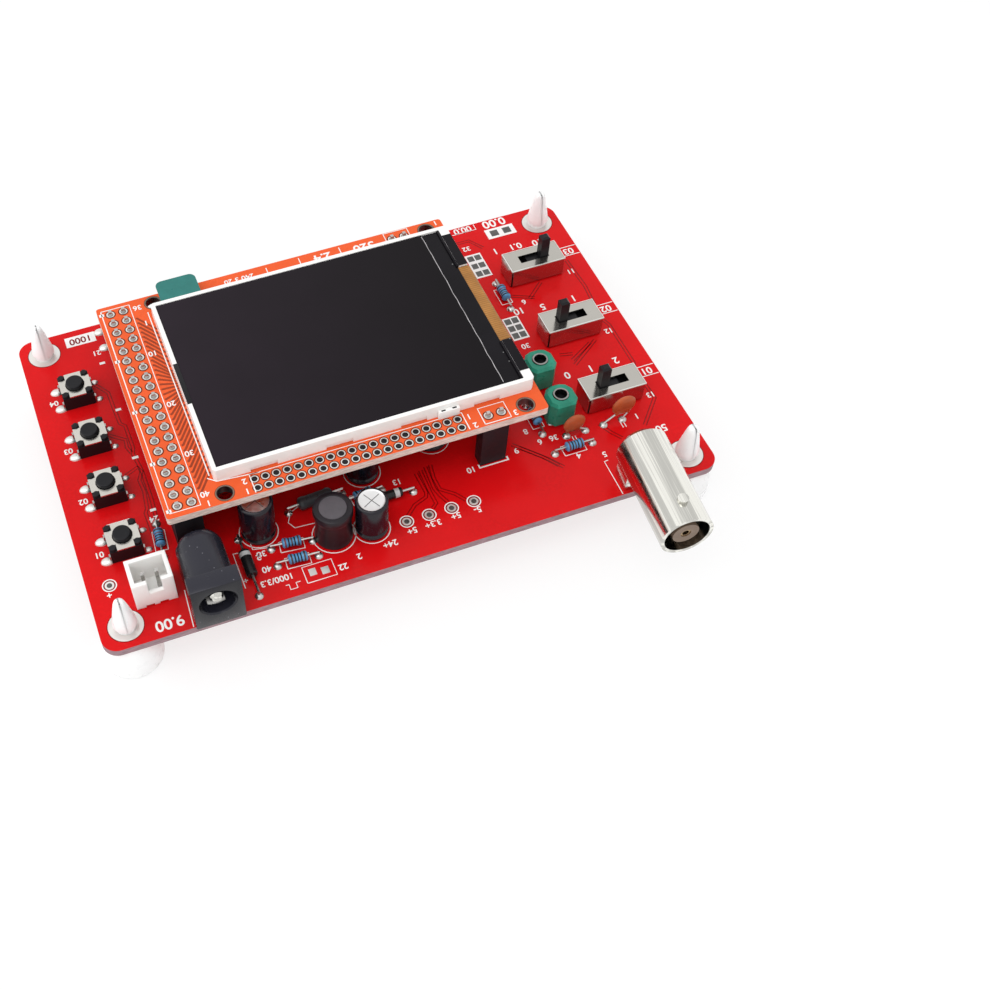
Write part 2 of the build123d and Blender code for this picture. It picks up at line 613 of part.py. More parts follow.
# ---------------------------------------------------------------- trimmer capacitors
def trimmer_body():
    """Moulded body, flat in front and cut back in a round behind, with a well for the rotor in its top."""
    half = TRIMMER_ACROSS / 2
    # corners of the right-hand side, from front to back, as shares of half the width
    right_side = [(0.64, -1), (1, -0.55), (1, 0.4), (0.7, 0.84), (0.3, 1)]
    left_side = [(-x, y) for x, y in reversed(right_side)]
    outline = Polygon(*[(x * half, y * half) for x, y in right_side + left_side], align=None)
    body = Pos(0, 0, TRIMMER_GAP_BELOW) * extrude(outline, TRIMMER_HEIGHT - TRIMMER_GAP_BELOW)
    body = chamfer(body.faces().sort_by(Axis.Z)[-1].edges(), TRIMMER_CHAMFER)
    well_depth = ROTOR_LENGTH - ROTOR_PROUD + ROTOR_GAP
    well = RegularPolygon(ROTOR_RADIUS + ROTOR_GAP, ROTOR_SIDES, major_radius=False)
    return body - Pos(0, 0, TRIMMER_HEIGHT - well_depth) * extrude(well, well_depth)


def trimmer_rotor():
    """Metal rotor: a tube at the top with a driver slot across the bottom of its bore."""
    top = TRIMMER_HEIGHT + ROTOR_PROUD
    rotor = faceted(ROTOR_RADIUS, ROTOR_LENGTH, ROTOR_SIDES, z=top - ROTOR_LENGTH)
    rotor -= faceted(ROTOR_BORE, ROTOR_BORE_DEPTH, ROTOR_SIDES, z=top - ROTOR_BORE_DEPTH)
    slot_depth = ROTOR_BORE_DEPTH + ROTOR_SLOT_DEPTH
    slot_length = 2 * (ROTOR_BORE - ROTOR_SLOT_INSET)
    return rotor - block(ROTOR_SLOT, slot_length, slot_depth, z=top - slot_depth)


trimmer_seats = [Pos(RIGHT_EDGE - TRIMMER_INSET_X, NEAR_EDGE + y, BOARD_TOP) for y in TRIMMER_INSET_YS]
for k, seat in enumerate(trimmer_seats, start=1):
    keep(f"trimmer_rotor_{k}", seat * trimmer_rotor())
keep("trimmer_bodies", *[seat * trimmer_body() for seat in trimmer_seats])
TRIMMER_LEG = 0.3
TRIMMER_LEG_WIDTH = 1.0
TRIMMER_LEG_INSET = 0.5
trimmer_leg_x = TRIMMER_ACROSS / 2 - TRIMMER_LEG_INSET
trimmer_leg = block(TRIMMER_LEG, TRIMMER_LEG_WIDTH, TRIMMER_GAP_BELOW, trimmer_leg_x)
trimmer_legs = [
    seat * Rot(0, 0, angle) * trimmer_leg for seat in trimmer_seats for angle in (90, 210, 330)
]


# ---------------------------------------------------------------- BNC socket
def along_y(shape):
    """Turn a shape made about Z so that its height runs along Y."""
    return Rot(-90, 0, 0) * shape


def bnc_shell():
    """Nickel shell: a bored barrel with two bayonet lugs, closed behind, on a block that meets the board."""
    barrel = along_y(turned([
        (BNC_BORE, 0),
        (BNC_RADIUS, 0),
        (BNC_RADIUS, BNC_LENGTH - BNC_END_ROUND),
        (BNC_RADIUS - BNC_END_ROUND, BNC_LENGTH),
        (0, BNC_LENGTH),
        (0, BNC_BORE_DEPTH),
        (BNC_BORE, BNC_BORE_DEPTH),
    ]))
    lug_root = BNC_RADIUS - BNC_LUG_ROOT
    lug = faceted(BNC_LUG_RADIUS, BNC_LUG_ROOT + BNC_LUG_PROUD, BNC_LUG_SIDES, z=lug_root)
    lug = Pos(0, BNC_LUG_SETBACK, 0) * lug
    block_start = BNC_OVERHANG + BNC_BLOCK_SETBACK
    foot_length = BNC_LENGTH - block_start - BNC_END_ROUND
    foot = block(BNC_BLOCK_WIDTH, foot_length, BNC_AXIS_HEIGHT - BNC_BLOCK_BELOW_AXIS,
                 y=block_start + foot_length / 2, z=-BNC_AXIS_HEIGHT)
    return barrel + lug + Rot(0, 180, 0) * lug + foot


def bnc_insulator():
    return along_y(turned([
        (BNC_CONTACT_RADIUS, BNC_INSULATOR_SETBACK),
        (BNC_INSULATOR_RADIUS, BNC_INSULATOR_SETBACK),
        (BNC_INSULATOR_RADIUS, BNC_BORE_DEPTH),
        (BNC_CONTACT_RADIUS, BNC_BORE_DEPTH),
    ]))


def bnc_contact():
    front = BNC_INSULATOR_SETBACK + BNC_CONTACT_SETBACK
    back = BNC_BORE_DEPTH
    return along_y(turned([
        (BNC_CONTACT_BORE, front),
        (BNC_CONTACT_RADIUS, front),
        (BNC_CONTACT_RADIUS, back),
        (0, back),
        (0, front + BNC_CONTACT_BORE_DEPTH),
        (BNC_CONTACT_BORE, front + BNC_CONTACT_BORE_DEPTH),
    ]))


bnc_seat = Pos(RIGHT_EDGE - BNC_INSET_X, BNC_MOUTH_Y, BOARD_TOP + BNC_AXIS_HEIGHT) * Rot(0, 0, BNC_YAW)
keep("bnc_shell", bnc_seat * bnc_shell())
keep("bnc_insulator", bnc_seat * bnc_insulator())
keep("bnc_contact", bnc_seat * bnc_contact())


# ---------------------------------------------------------------- DC jack
def jack_housing():
    """Square face block with a half-round barrel behind it and a blind bore for the plug."""
    barrel_length = JACK_LENGTH - JACK_FACE_DEPTH
    face = block(JACK_WIDTH, JACK_FACE_DEPTH, JACK_HEIGHT, y=JACK_FACE_DEPTH / 2)
    barrel = along_y(rod(JACK_BARREL_RADIUS, barrel_length, z=JACK_FACE_DEPTH))
    barrel = Pos(0, 0, JACK_AXIS_HEIGHT) * barrel
    base = block(2 * JACK_BARREL_RADIUS, barrel_length, JACK_AXIS_HEIGHT,
                 y=JACK_FACE_DEPTH + barrel_length / 2)
    bore = Pos(0, 0, JACK_AXIS_HEIGHT) * along_y(turned([
        (0, 0),
        (JACK_BORE, 0),
        (JACK_BORE, JACK_BORE_DEPTH),
        (0, JACK_BORE_DEPTH),
    ]))
    slot_length = JACK_BORE_DEPTH - JACK_SLOT_START - JACK_SLOT_END
    spring_slot = block(JACK_SPRING_WIDTH + 2 * FIT, slot_length, 2 * JACK_SLOT_DEPTH,
                        y=JACK_SLOT_START + slot_length / 2,
                        z=JACK_AXIS_HEIGHT - JACK_BORE - JACK_SLOT_DEPTH)
    return face + barrel + base - bore - spring_slot


def jack_pin():
    return Pos(0, 0, JACK_AXIS_HEIGHT) * along_y(turned([
        (0, JACK_PIN_SETBACK),
        (JACK_PIN_RADIUS - JACK_PIN_TAPER, JACK_PIN_SETBACK),
        (JACK_PIN_RADIUS, JACK_PIN_SETBACK + JACK_PIN_TAPER),
        (JACK_PIN_RADIUS, JACK_BORE_DEPTH),
        (0, JACK_BORE_DEPTH),
    ]))


def jack_spring():
    """Flat spring in a slot in the bore's floor, bowed up against the plug's sleeve."""
    floor = JACK_AXIS_HEIGHT - JACK_BORE - JACK_SLOT_DEPTH
    start = JACK_SLOT_START + 2 * FIT
    end = JACK_BORE_DEPTH - JACK_SLOT_END - 2 * FIT
    top = floor + JACK_SPRING_BOW
    outer = ThreePointArc((0, start, floor), (0, (start + end) / 2, top), (0, end, floor))
    inner = ThreePointArc(
        (0, end - JACK_SPRING_SHEET, floor),
        (0, (start + end) / 2, top - JACK_SPRING_SHEET),
        (0, start + JACK_SPRING_SHEET, floor))
    closing = [
        Line((0, end, floor), (0, end - JACK_SPRING_SHEET, floor)),
        Line((0, start + JACK_SPRING_SHEET, floor), (0, start, floor)),
    ]
    side = make_face([outer, inner] + closing)
    return extrude(side, JACK_SPRING_WIDTH / 2, dir=(1, 0, 0), both=True)


jack_seat = Pos(LEFT_EDGE + JACK_INSET_X, NEAR_EDGE - JACK_OVERHANG, BOARD_TOP)
keep("jack_housing", jack_seat * jack_housing())
keep("jack_pin", jack_seat * jack_pin())
keep("jack_spring", jack_seat * jack_spring())


# ---------------------------------------------------------------- shrouded power header
def shroud():
    """Open-topped housing with two slots at the foot of its near wall and a key in its far wall."""
    body = block(SHROUD_LENGTH, SHROUD_DEPTH, SHROUD_HEIGHT)
    body -= block(SHROUD_LENGTH - 2 * SHROUD_WALL, SHROUD_DEPTH - 2 * SHROUD_WALL,
                  SHROUD_HEIGHT, z=SHROUD_FLOOR)
    body -= block(SHROUD_KEY, 2 * SHROUD_WALL, SHROUD_KEY_DEPTH,
                  SHROUD_KEY_SHIFT, -SHROUD_DEPTH / 2, SHROUD_HEIGHT - SHROUD_KEY_DEPTH)
    for side in (-1, 1):
        x = side * SHROUD_PIN_PITCH / 2
        body -= block(SHROUD_SLOT, SHROUD_WALL, SHROUD_SLOT_HEIGHT, x, -(SHROUD_DEPTH - SHROUD_WALL) / 2)
        body -= block(PIN_WIDTH, PIN_WIDTH, SHROUD_FLOOR, x)
    return body


shroud_seat = Pos(LEFT_EDGE + SHROUD_INSET_X, NEAR_EDGE + SHROUD_INSET_Y, BOARD_TOP)
keep("power_header_housing", shroud_seat * shroud())
keep("power_header_pins", *[
    shroud_seat * block(PIN_WIDTH, PIN_WIDTH, SHROUD_PIN_HEIGHT, side * SHROUD_PIN_PITCH / 2)
    for side in (-1, 1)
])


# ---------------------------------------------------------------- electrolytic capacitors and inductor
# from the board's left edge, from its near edge, radius and height of each
electrolytics = (
    (32.3, 15.4, 3.2, 9.6),
    (51.7, 9.0, 3.0, 8.6),
    (54.3, 21.5, 3.1, 9.6),
    (69.1, 24.3, 3.1, 9.6),
)


keep("electrolytic_capacitors", *[
    faceted(radius, height, CAN_SIDES, LEFT_EDGE + x, NEAR_EDGE + y, BOARD_TOP)
    for x, y, radius, height in electrolytics
])

INDUCTOR_RADIUS = 3.6
INDUCTOR_HEIGHT = 8.5
INDUCTOR_RIM = 0.25
INDUCTOR_RIM_HEIGHT = 2.4
INDUCTOR_INSET_X = 44.8
INDUCTOR_INSET_Y = 10.0
rim_start = INDUCTOR_HEIGHT - INDUCTOR_RIM_HEIGHT
inductor = faceted(INDUCTOR_RADIUS - INDUCTOR_RIM, rim_start, CAN_SIDES)
inductor += faceted(INDUCTOR_RADIUS, INDUCTOR_RIM_HEIGHT, CAN_SIDES, z=rim_start)
inductor_seat = Pos(LEFT_EDGE + INDUCTOR_INSET_X, NEAR_EDGE + INDUCTOR_INSET_Y, BOARD_TOP)
keep("drum_inductor", inductor_seat * inductor)


# ---------------------------------------------------------------- axial parts
leads = list(trimmer_legs)


def left_seat(inset_x, inset_y, angle=0):
    """Seat on the board, measured from its left and near edges."""
    return Pos(LEFT_EDGE + inset_x, NEAR_EDGE + inset_y, BOARD_TOP) * Rot(0, 0, angle)


def right_seat(inset_x, inset_y, angle=0):
    """Seat on the board, measured from its right and near edges."""
    return Pos(RIGHT_EDGE - inset_x, NEAR_EDGE + inset_y, BOARD_TOP) * Rot(0, 0, angle)


def axial_leads(seat, body_length, span, height, diameter):
    """Both leads of an axial part: out of the body, then down to the board."""
    made = []
    for side in (-1, 1):
        path = [
            (side * body_length / 2, 0, height),
            (side * span / 2, 0, height),
            (side * span / 2, 0, 0),
        ]
        made.append(seat * wire(path, diameter))
    return made


def lying(radius, length, height):
    """A many-sided body that lies along X, its axis at a height above the board."""
    return Pos(-length / 2, 0, height) * Rot(0, 90, 0) * faceted(radius, length, AXIAL_SIDES)


# inset from the side edge, inset from the near edge, angle of the axis
left_resistors = (
    (37.0, 10.5, -6),
    (37.0, 6.9, -3),
    (15.0, 19.7, 85),
    (52.5, 16.1, 5),
)
right_resistors = (
    (20.2, 53.9, 90),
    (23.65, 12.95, 0),
    (27.7, 21.9, 90),
)
resistor_seats = [left_seat(*row) for row in left_resistors]
resistor_seats += [right_seat(*row) for row in right_resistors]
RESISTOR_CENTRE = RESISTOR_RADIUS + LYING_GAP
resistor = lying(RESISTOR_RADIUS, RESISTOR_LENGTH, RESISTOR_CENTRE)
keep("resistors", *[seat * resistor for seat in resistor_seats])
for seat in resistor_seats:
    leads += axial_leads(seat, RESISTOR_LENGTH, RESISTOR_SPAN, RESISTOR_CENTRE, THIN_LEAD)

# inset from the left edge, inset from the near edge, angle, body length, body radius, span of the leads
diodes = (
    (28.3, 8.6, 90, 5.4, 1.25, 12.6),
    (56.8, 14.0, 0, 5.2, 1.05, 9.6),
)
chokes = ((43.9, 17.8, 4, 6.6, 1.3, 10.6),)


def axial_group(rows):
    made = []
    for x, y, angle, length, radius, span in rows:
        seat = left_seat(x, y, angle)
        centre = radius + LYING_GAP
        made.append(seat * lying(radius, length, centre))
        leads.extend(axial_leads(seat, length, span, centre, LEAD))
    return made


keep("diodes", *axial_group(diodes))
keep("axial_choke", *axial_group(chokes))

# ---------------------------------------------------------------- ceramic discs
# inset from the right edge, inset from the near edge, diameter, height of the disc's middle, sideways lean
discs = (
    (14.05, 16.1, 4.8, 4.3, 1.6),
    (21.75, 16.1, 4.4, 3.3, -0.7),
)
disc_bodies = []
for x, y, diameter, height, lean in discs:
    seat = right_seat(x, y)
    disc = Rot(90, 0, 0) * faceted(diameter / 2, DISC_THICKNESS, CAN_SIDES)
    disc_bodies.append(seat * Pos(lean, DISC_THICKNESS / 2, height) * disc)
    for side in (-1, 1):
        foot_x = side * DISC_LEAD_SPACING / 2
        top = (lean + side * diameter * DISC_LEAD_SPREAD, 0, height - diameter * DISC_LEAD_RISE)
        leads.append(seat * wire([(foot_x, 0, 0), (foot_x, 0, LEAD), top], THIN_LEAD))
keep("ceramic_discs", *disc_bodies)

# ---------------------------------------------------------------- chips, crystal, regulators
# inset from the left edge, inset from the near edge, length, width, height
chips = (
    (46.5, 42.0, 7.0, 7.0, 1.4),
    (73.5, 36.0, 8.7, 3.9, 1.5),
    (38.5, 26.0, 6.5, 3.5, 1.6),
)


def chip(length, width, height):
    body = block(length, width, height, z=CHIP_STANDOFF)
    return chamfer(body.faces().sort_by(Axis.Z)[-1].edges(), CHIP_STANDOFF)


keep("chips", *[left_seat(x, y) * chip(length, width, height) for x, y, length, width, height in chips])

CRYSTAL_LENGTH = 11.0
CRYSTAL_WIDTH = 4.6
CRYSTAL_HEIGHT = 3.6
CRYSTAL_INSET_X = 45.5
CRYSTAL_INSET_Y = 52.0
crystal = extrude(SlotOverall(CRYSTAL_LENGTH, CRYSTAL_WIDTH), CRYSTAL_HEIGHT)
keep("crystal", left_seat(CRYSTAL_INSET_X, CRYSTAL_INSET_Y) * crystal)

REGULATOR_WIDTH = 4.6
REGULATOR_HEIGHT = 4.6
REGULATOR_FLAT = 1.6          # from the middle to the flat face
REGULATOR_GAP = 2.5
REGULATOR_LEAD_PITCH = 1.27
regulator_insets = ((61.1, 24.0), (61.1, 32.0))
regulator_outline = RegularPolygon(REGULATOR_WIDTH / 2, CAN_SIDES)
cut_middle = -REGULATOR_FLAT - REGULATOR_WIDTH / 2
regulator_outline -= Pos(0, cut_middle) * Rectangle(REGULATOR_WIDTH, REGULATOR_WIDTH)
regulator = Pos(0, 0, REGULATOR_GAP) * extrude(regulator_outline, REGULATOR_HEIGHT)
keep("regulators", *[left_seat(x, y) * regulator for x, y in regulator_insets])
for x, y in regulator_insets:
    for k in (-1, 0, 1):
        lead_x = k * REGULATOR_LEAD_PITCH
        leads.append(left_seat(x, y) * wire([(lead_x, 0, 0), (lead_x, 0, REGULATOR_GAP)], THIN_LEAD))
keep("component_leads", *leads)

# ---------------------------------------------------------------- write one file for each node
os.makedirs("parts", exist_ok=True)
for name, shape in NODES.items():
    export_step(shape, f"parts/{name}.step")
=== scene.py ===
"""Looks of an open-board pocket oscilloscope: finishes for its CAD nodes, and the fine pieces on them."""
from math import atan2, cos, hypot, pi, radians, sin

import bpy
from mathutils import Matrix, Vector


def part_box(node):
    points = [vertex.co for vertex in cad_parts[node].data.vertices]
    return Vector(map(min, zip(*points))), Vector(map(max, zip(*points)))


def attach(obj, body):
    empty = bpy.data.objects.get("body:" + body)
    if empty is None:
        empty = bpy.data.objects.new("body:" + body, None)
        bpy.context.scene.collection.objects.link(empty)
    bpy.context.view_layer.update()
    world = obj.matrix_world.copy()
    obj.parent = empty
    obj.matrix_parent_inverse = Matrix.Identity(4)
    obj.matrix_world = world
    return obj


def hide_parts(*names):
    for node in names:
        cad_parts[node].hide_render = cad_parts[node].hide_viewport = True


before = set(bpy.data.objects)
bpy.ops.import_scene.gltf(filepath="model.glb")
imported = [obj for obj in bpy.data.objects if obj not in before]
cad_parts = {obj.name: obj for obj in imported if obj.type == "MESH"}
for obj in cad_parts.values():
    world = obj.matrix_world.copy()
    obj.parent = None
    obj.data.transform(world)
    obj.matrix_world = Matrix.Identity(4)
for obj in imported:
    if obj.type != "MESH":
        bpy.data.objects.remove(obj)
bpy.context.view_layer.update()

bl_info = {
    "name": "Pocket oscilloscope finish",
    "version": (1, 0, 0),
    "blender": (4, 5, 0),
    "location": "View3D > Sidebar > Oscilloscope",
    "description": "Dresses the boards, parts and display of an open-board oscilloscope",
    "category": "Object",
}

MM = 0.001
ROOT = "board_assembly"
BOARD_LOW, BOARD_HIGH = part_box("main_board")
BOARD_MIDDLE = (BOARD_LOW + BOARD_HIGH) / 2
BOARD_TOP = BOARD_HIGH.z
PANEL_LOW, PANEL_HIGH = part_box("display_board")
PANEL_TOP = PANEL_HIGH.z
COPPER_LIFT = 0.012 * MM      # traces lie this far above the board
PAD_LIFT = 0.02 * MM
INK_LIFT = 0.03 * MM          # ink lies above the traces
SMOOTH_ANGLE = radians(38)
SHELL_TURN = radians(-4.5)    # the probe socket stands a little askew
FINISHES = {}


# ---------------------------------------------------------------- helpers for modelling
def only(*pieces):
    """Leaves just these objects selected, the first of them active."""
    if bpy.context.mode != "OBJECT":
        bpy.ops.object.mode_set(mode="OBJECT")
    bpy.ops.object.select_all(action="DESELECT")
    for piece in pieces:
        piece.select_set(True)
    if pieces:
        bpy.context.view_layer.objects.active = pieces[0]


def edit(piece, kind="FACE"):
    """Opens a piece for editing with all of it selected."""
    only(piece)
    bpy.ops.object.mode_set(mode="EDIT")
    bpy.ops.mesh.select_mode(type=kind)
    bpy.ops.mesh.select_all(action="SELECT")


def pick_faces(piece, wanted):
    """Selects in edit mode just the faces that the test wants."""
    bpy.ops.mesh.select_all(action="DESELECT")
    bpy.ops.object.mode_set(mode="OBJECT")
    for face in piece.data.polygons:
        face.select = wanted(face)
    bpy.ops.object.mode_set(mode="EDIT")


def pick_edges(piece, wanted):
    """Selects in edit mode just the edges whose two ends pass the test."""
    bpy.ops.mesh.select_mode(type="EDGE")
    bpy.ops.mesh.select_all(action="DESELECT")
    bpy.ops.object.mode_set(mode="OBJECT")
    corners = piece.data.vertices
    for edge in piece.data.edges:
        edge.select = wanted(*(corners[end].co for end in edge.vertices))
    bpy.ops.object.mode_set(mode="EDIT")


def applied(piece):
    """Puts a piece's place, turn and scale into its mesh."""
    only(piece)
    bpy.ops.object.transform_apply(location=True, rotation=True, scale=True)
    return piece


def settled(piece, place=(0, 0, 0), turn=(0, 0, 0)):
    """Moves and turns a piece, and puts both into its mesh."""
    piece.location = place
    piece.rotation_euler = turn
    return applied(piece)


def smooth(piece):
    """Shades a piece smooth up to an angle."""
    only(piece)
    bpy.ops.object.shade_smooth_by_angle(angle=SMOOTH_ANGLE)
    return piece


def closed(piece):
    """Merges doubles, turns the faces outwards and shades the piece smooth."""
    edit(piece)
    bpy.ops.mesh.remove_doubles(threshold=1e-7)
    bpy.ops.mesh.normals_make_consistent(inside=False)
    return smooth(piece)


def merged(piece, other, operation):
    """Joins a piece with another, or cuts the other out of it, and uses up the other."""
    change = piece.modifiers.new("merge", "BOOLEAN")
    change.operation = operation
    change.solver = "EXACT"
    change.object = other
    only(piece)
    bpy.ops.object.modifier_apply(modifier="merge")
    bpy.data.objects.remove(other)
    return piece


def turned(profile, sides):
    """A solid of revolution about Z, drawn up ring by ring from a disc; (radius, height) pairs in mm."""
    only()
    radius, height = profile[0]
    bpy.ops.mesh.primitive_circle_add(vertices=sides, radius=radius * MM, fill_type="NGON")
    piece = settled(bpy.context.object, (0, 0, height * MM))
    edit(piece)
    for wider, higher in profile[1:]:
        bpy.ops.mesh.extrude_region_move(TRANSFORM_OT_translate={"value": (0, 0, (higher - height) * MM)})
        bpy.ops.transform.resize(value=(wider / radius, wider / radius, 1), center_override=(0, 0, 0))
        radius, height = wider, higher
    return closed(piece)


def mirrored(end, *middle):
    """A profile whose upper end mirrors its lower one, with more rings between them."""
    return [*end, *middle, *[(radius, -height) for radius, height in reversed(end)]]


def block(size, place, bevel=0.0):
    """A box of a size in mm, its middle at a place in metres, with its edges rounded in mm."""
    only()
    bpy.ops.mesh.primitive_cube_add(size=1, location=place, scale=[side * MM for side in size])
    piece = applied(bpy.context.object)
    if bevel:
        edit(piece, "EDGE")
        bpy.ops.mesh.bevel(offset=bevel * MM, segments=2, affect="EDGES")
    return closed(piece)


def ring(inner, outer, sides, thickness=0.0):
    """A flat ring facing up, or a low one with a thickness; all in mm."""
    only()
    bpy.ops.mesh.primitive_circle_add(vertices=sides, radius=outer * MM, fill_type="NGON")
    piece = bpy.context.object
    edit(piece)
    bpy.ops.mesh.inset(thickness=(outer - inner) * MM * cos(pi / sides), use_even_offset=True)
    bpy.ops.mesh.delete(type="FACE")
    if thickness:
        bpy.ops.mesh.select_all(action="SELECT")
        bpy.ops.mesh.extrude_region_move(TRANSFORM_OT_translate={"value": (0, 0, thickness * MM)})
        return closed(piece)
    only(piece)
    return piece


def joined(*members):
    """One piece from several, with its place in its mesh."""
    only(*members)
    if len(members) > 1:
        bpy.ops.object.join()
    return applied(bpy.context.object)


def spread(piece, points, level):
    """Copies a piece to (x, y) points at a level, or to (x, y, turn) ones, and joins the copies."""
    members = []
    for x, y, *turn in points:
        twin = piece.copy()
        twin.data = piece.data.copy()
        bpy.context.collection.objects.link(twin)
        twin.location = (x, y, level)
        twin.rotation_euler = (0, 0, turn[0] if turn else 0)
        members.append(twin)
    bpy.data.objects.remove(piece)
    return joined(*members)


def stood(piece, solid):
    """Stands a piece in the middle of a solid's box, on its bottom."""
    return settled(piece, (solid.middle.x, solid.middle.y, solid.low.z))


def laid(piece, solid):
    """Lays an upright piece down in the middle of a solid, along its angle on the board."""
    settled(piece, (0, 0, 0), (0, pi / 2, 0))
    return settled(piece, solid.middle, (0, 0, solid.angle))


def coated(piece, finish):
    """Gives a whole piece one finish."""
    piece.data.materials.clear()
    piece.data.materials.append(FINISHES[finish])
    return piece


def paint(piece, finishes, choose):
    """Gives each face the finish whose number the test returns."""
    piece.data.materials.clear()
    for finish in finishes:
        piece.data.materials.append(FINISHES[finish])
    for face in piece.data.polygons:
        face.material_index = choose(face)
    return piece


def from_axis(face):
    """How far a face's middle is from the Z axis, in mm."""
    return hypot(*face.center.xy) / MM


def finished(piece, name, finish=None, body=ROOT, instead=()):
    """Names a piece, or several joined, gives it its finish, and lets it ride on its body."""
    if isinstance(piece, list):
        piece = joined(*piece)
    piece.name = name
    piece.data.name = name
    if finish:
        coated(piece, finish)
    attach(piece, body)
    if instead:
        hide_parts(*instead)
    return piece


# ---------------------------------------------------------------- places
class Solid:
    """A separate solid, or a whole node, of the CAD: its box in metres and its size in mm.

    The foot is the middle of its lowest points, and the angle is how its long side lies on the board.
    """

    def __init__(self, low, high, foot=None, angle=0.0):
        self.low, self.high, self.foot, self.angle = low, high, foot, angle
        self.middle = (low + high) / 2
        self.size = (high - low) / MM


def whole(node):
    """The box of a CAD node."""
    return Solid(*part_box(node))


def solids(node):
    """Every separate solid of a CAD node, from left to right."""
    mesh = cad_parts[node].data
    spots, label = {}, []
    for vertex in mesh.vertices:
        key = tuple(round(c, 6) for c in vertex.co)
        label.append(spots.setdefault(key, len(spots)))
    root = list(range(len(spots)))

    def top(i):
        while root[i] != i:
            root[i] = root[root[i]]
            i = root[i]
        return i

    for face in mesh.polygons:
        first = top(label[face.vertices[0]])
        for corner in face.vertices[1:]:
            root[top(label[corner])] = first
    groups = {}
    for key, index in spots.items():
        groups.setdefault(top(index), []).append(key)
    found = []
    for group in groups.values():
        low = Vector([min(axis) for axis in zip(*group)])
        high = Vector([max(axis) for axis in zip(*group)])
        feet = [Vector(spot) for spot in group if spot[2] < low.z + 0.02 * MM]
        x, y, z = (sum(axis) / len(group) for axis in zip(*group))
        wide = sum((spot[0] - x) ** 2 for spot in group)
        deep = sum((spot[1] - y) ** 2 for spot in group)
        skew = sum((spot[0] - x) * (spot[1] - y) for spot in group)
        found.append(Solid(low, high, sum(feet, Vector()) / len(feet), atan2(2 * skew, wide - deep) / 2))
    return sorted(found, key=lambda solid: (round(solid.low.x, 4), solid.low.y))


def on_board(x, y):
    """A point in mm from the main board's middle, in metres in the row frame."""
    return BOARD_MIDDLE.x + x * MM, BOARD_MIDDLE.y + y * MM


def board_paths(paths):
    """Paths from points in mm from the main board's middle."""
    return [[on_board(x, y) for x, y in path] for path in paths]


def outline(low_x, low_y, high_x, high_y, gap=0.0):
    """A closed path round a rectangle, widened by a gap."""
    a, b, c, d = low_x - gap, low_y - gap, high_x + gap, high_y + gap
    return [(a, b), (c, b), (c, d), (a, d), (a, b)]


def circle(x, y, radius, steps=28):
    """Points along a circle."""
    turns = [2 * pi * k / steps for k in range(steps + 1)]
    return [(x + radius * cos(turn), y + radius * sin(turn)) for turn in turns]


def beside(path, gap):
    """The two lines that run along a path at a gap to its left and right."""
    sides = []
    for side in (-gap, gap):
        line = []
        for k, (x, y) in enumerate(path):
            before, after = path[max(k - 1, 0)], path[min(k + 1, len(path) - 1)]
            along = Vector((after[0] - before[0], after[1] - before[1])).normalized()
            line.append((x - side * along.y, y + side * along.x))
        sides.append(line)
    return sides


# ---------------------------------------------------------------- flat ink and copper
def strips(finish, paths, width, level):
    """Flat strips along paths of (x, y) points, all in metres, as ink or copper lies on a board."""
    only()
    line = bpy.data.curves.new("strip", "CURVE")
    line.dimensions = "3D"
    line.twist_mode = "Z_UP"
    line.extrude = width / 2
    for path in paths:
        spline = line.splines.new("POLY")
        spline.points.add(len(path) - 1)
        for point, (x, y) in zip(spline.points, path):
            point.co = (x, y, level, 1)
            point.tilt = pi / 2
    piece = bpy.data.objects.new("strip", line)
    bpy.context.collection.objects.link(piece)
    only(piece)
    bpy.ops.object.convert(target="MESH")
    piece = bpy.context.object
    edit(piece)
    pick_faces(piece, lambda face: face.normal.z < 0)
    bpy.ops.mesh.flip_normals()
    only(piece)
    return coated(piece, finish)


def bars(finish, rows, width, level):
    """Flat bars along X; rows are (x, y, length), and they and the width are in mm on the main board."""
    return strips(finish, board_paths(((x, y), (x + run, y)) for x, y, run in rows), width * MM, level)


def labels(finish, rows, size, level):
    """Plain numbers and signs as flat ink; rows are (text, x, y), and they and the size are in mm."""
    members = []
    for text, x, y in rows:
        only()
        bpy.ops.object.text_add(location=(0, 0, 0))
        letters = bpy.context.object.data
        letters.body = text
        letters.size = size * MM
        letters.offset = 0.02 * size * MM
        letters.align_x = letters.align_y = "CENTER"
        bpy.ops.object.convert(target="MESH")
        members.append(settled(bpy.context.object, (*on_board(x, y), level), (0, 0, pi)))
    return coated(joined(*members), finish)


# ---------------------------------------------------------------- helpers for materials
def feed(tree, socket, value):
    """Links an output to a socket, or sets the socket to a value."""
    if isinstance(value, bpy.types.NodeSocket):
        tree.links.new(value, socket)
    else:
        socket.default_value = (*value[:3], 1) if socket.type == "RGBA" else value


def wired(tree, kind, inputs, **settings):
    """A new shader node in a tree, with its settings, and its inputs fed by name or number."""
    node = tree.nodes.new("ShaderNode" + kind)
    for name, value in settings.items():
        setattr(node, name, value)
    for key, value in inputs.items():
        feed(tree, node.inputs[key], value)
    return node.outputs


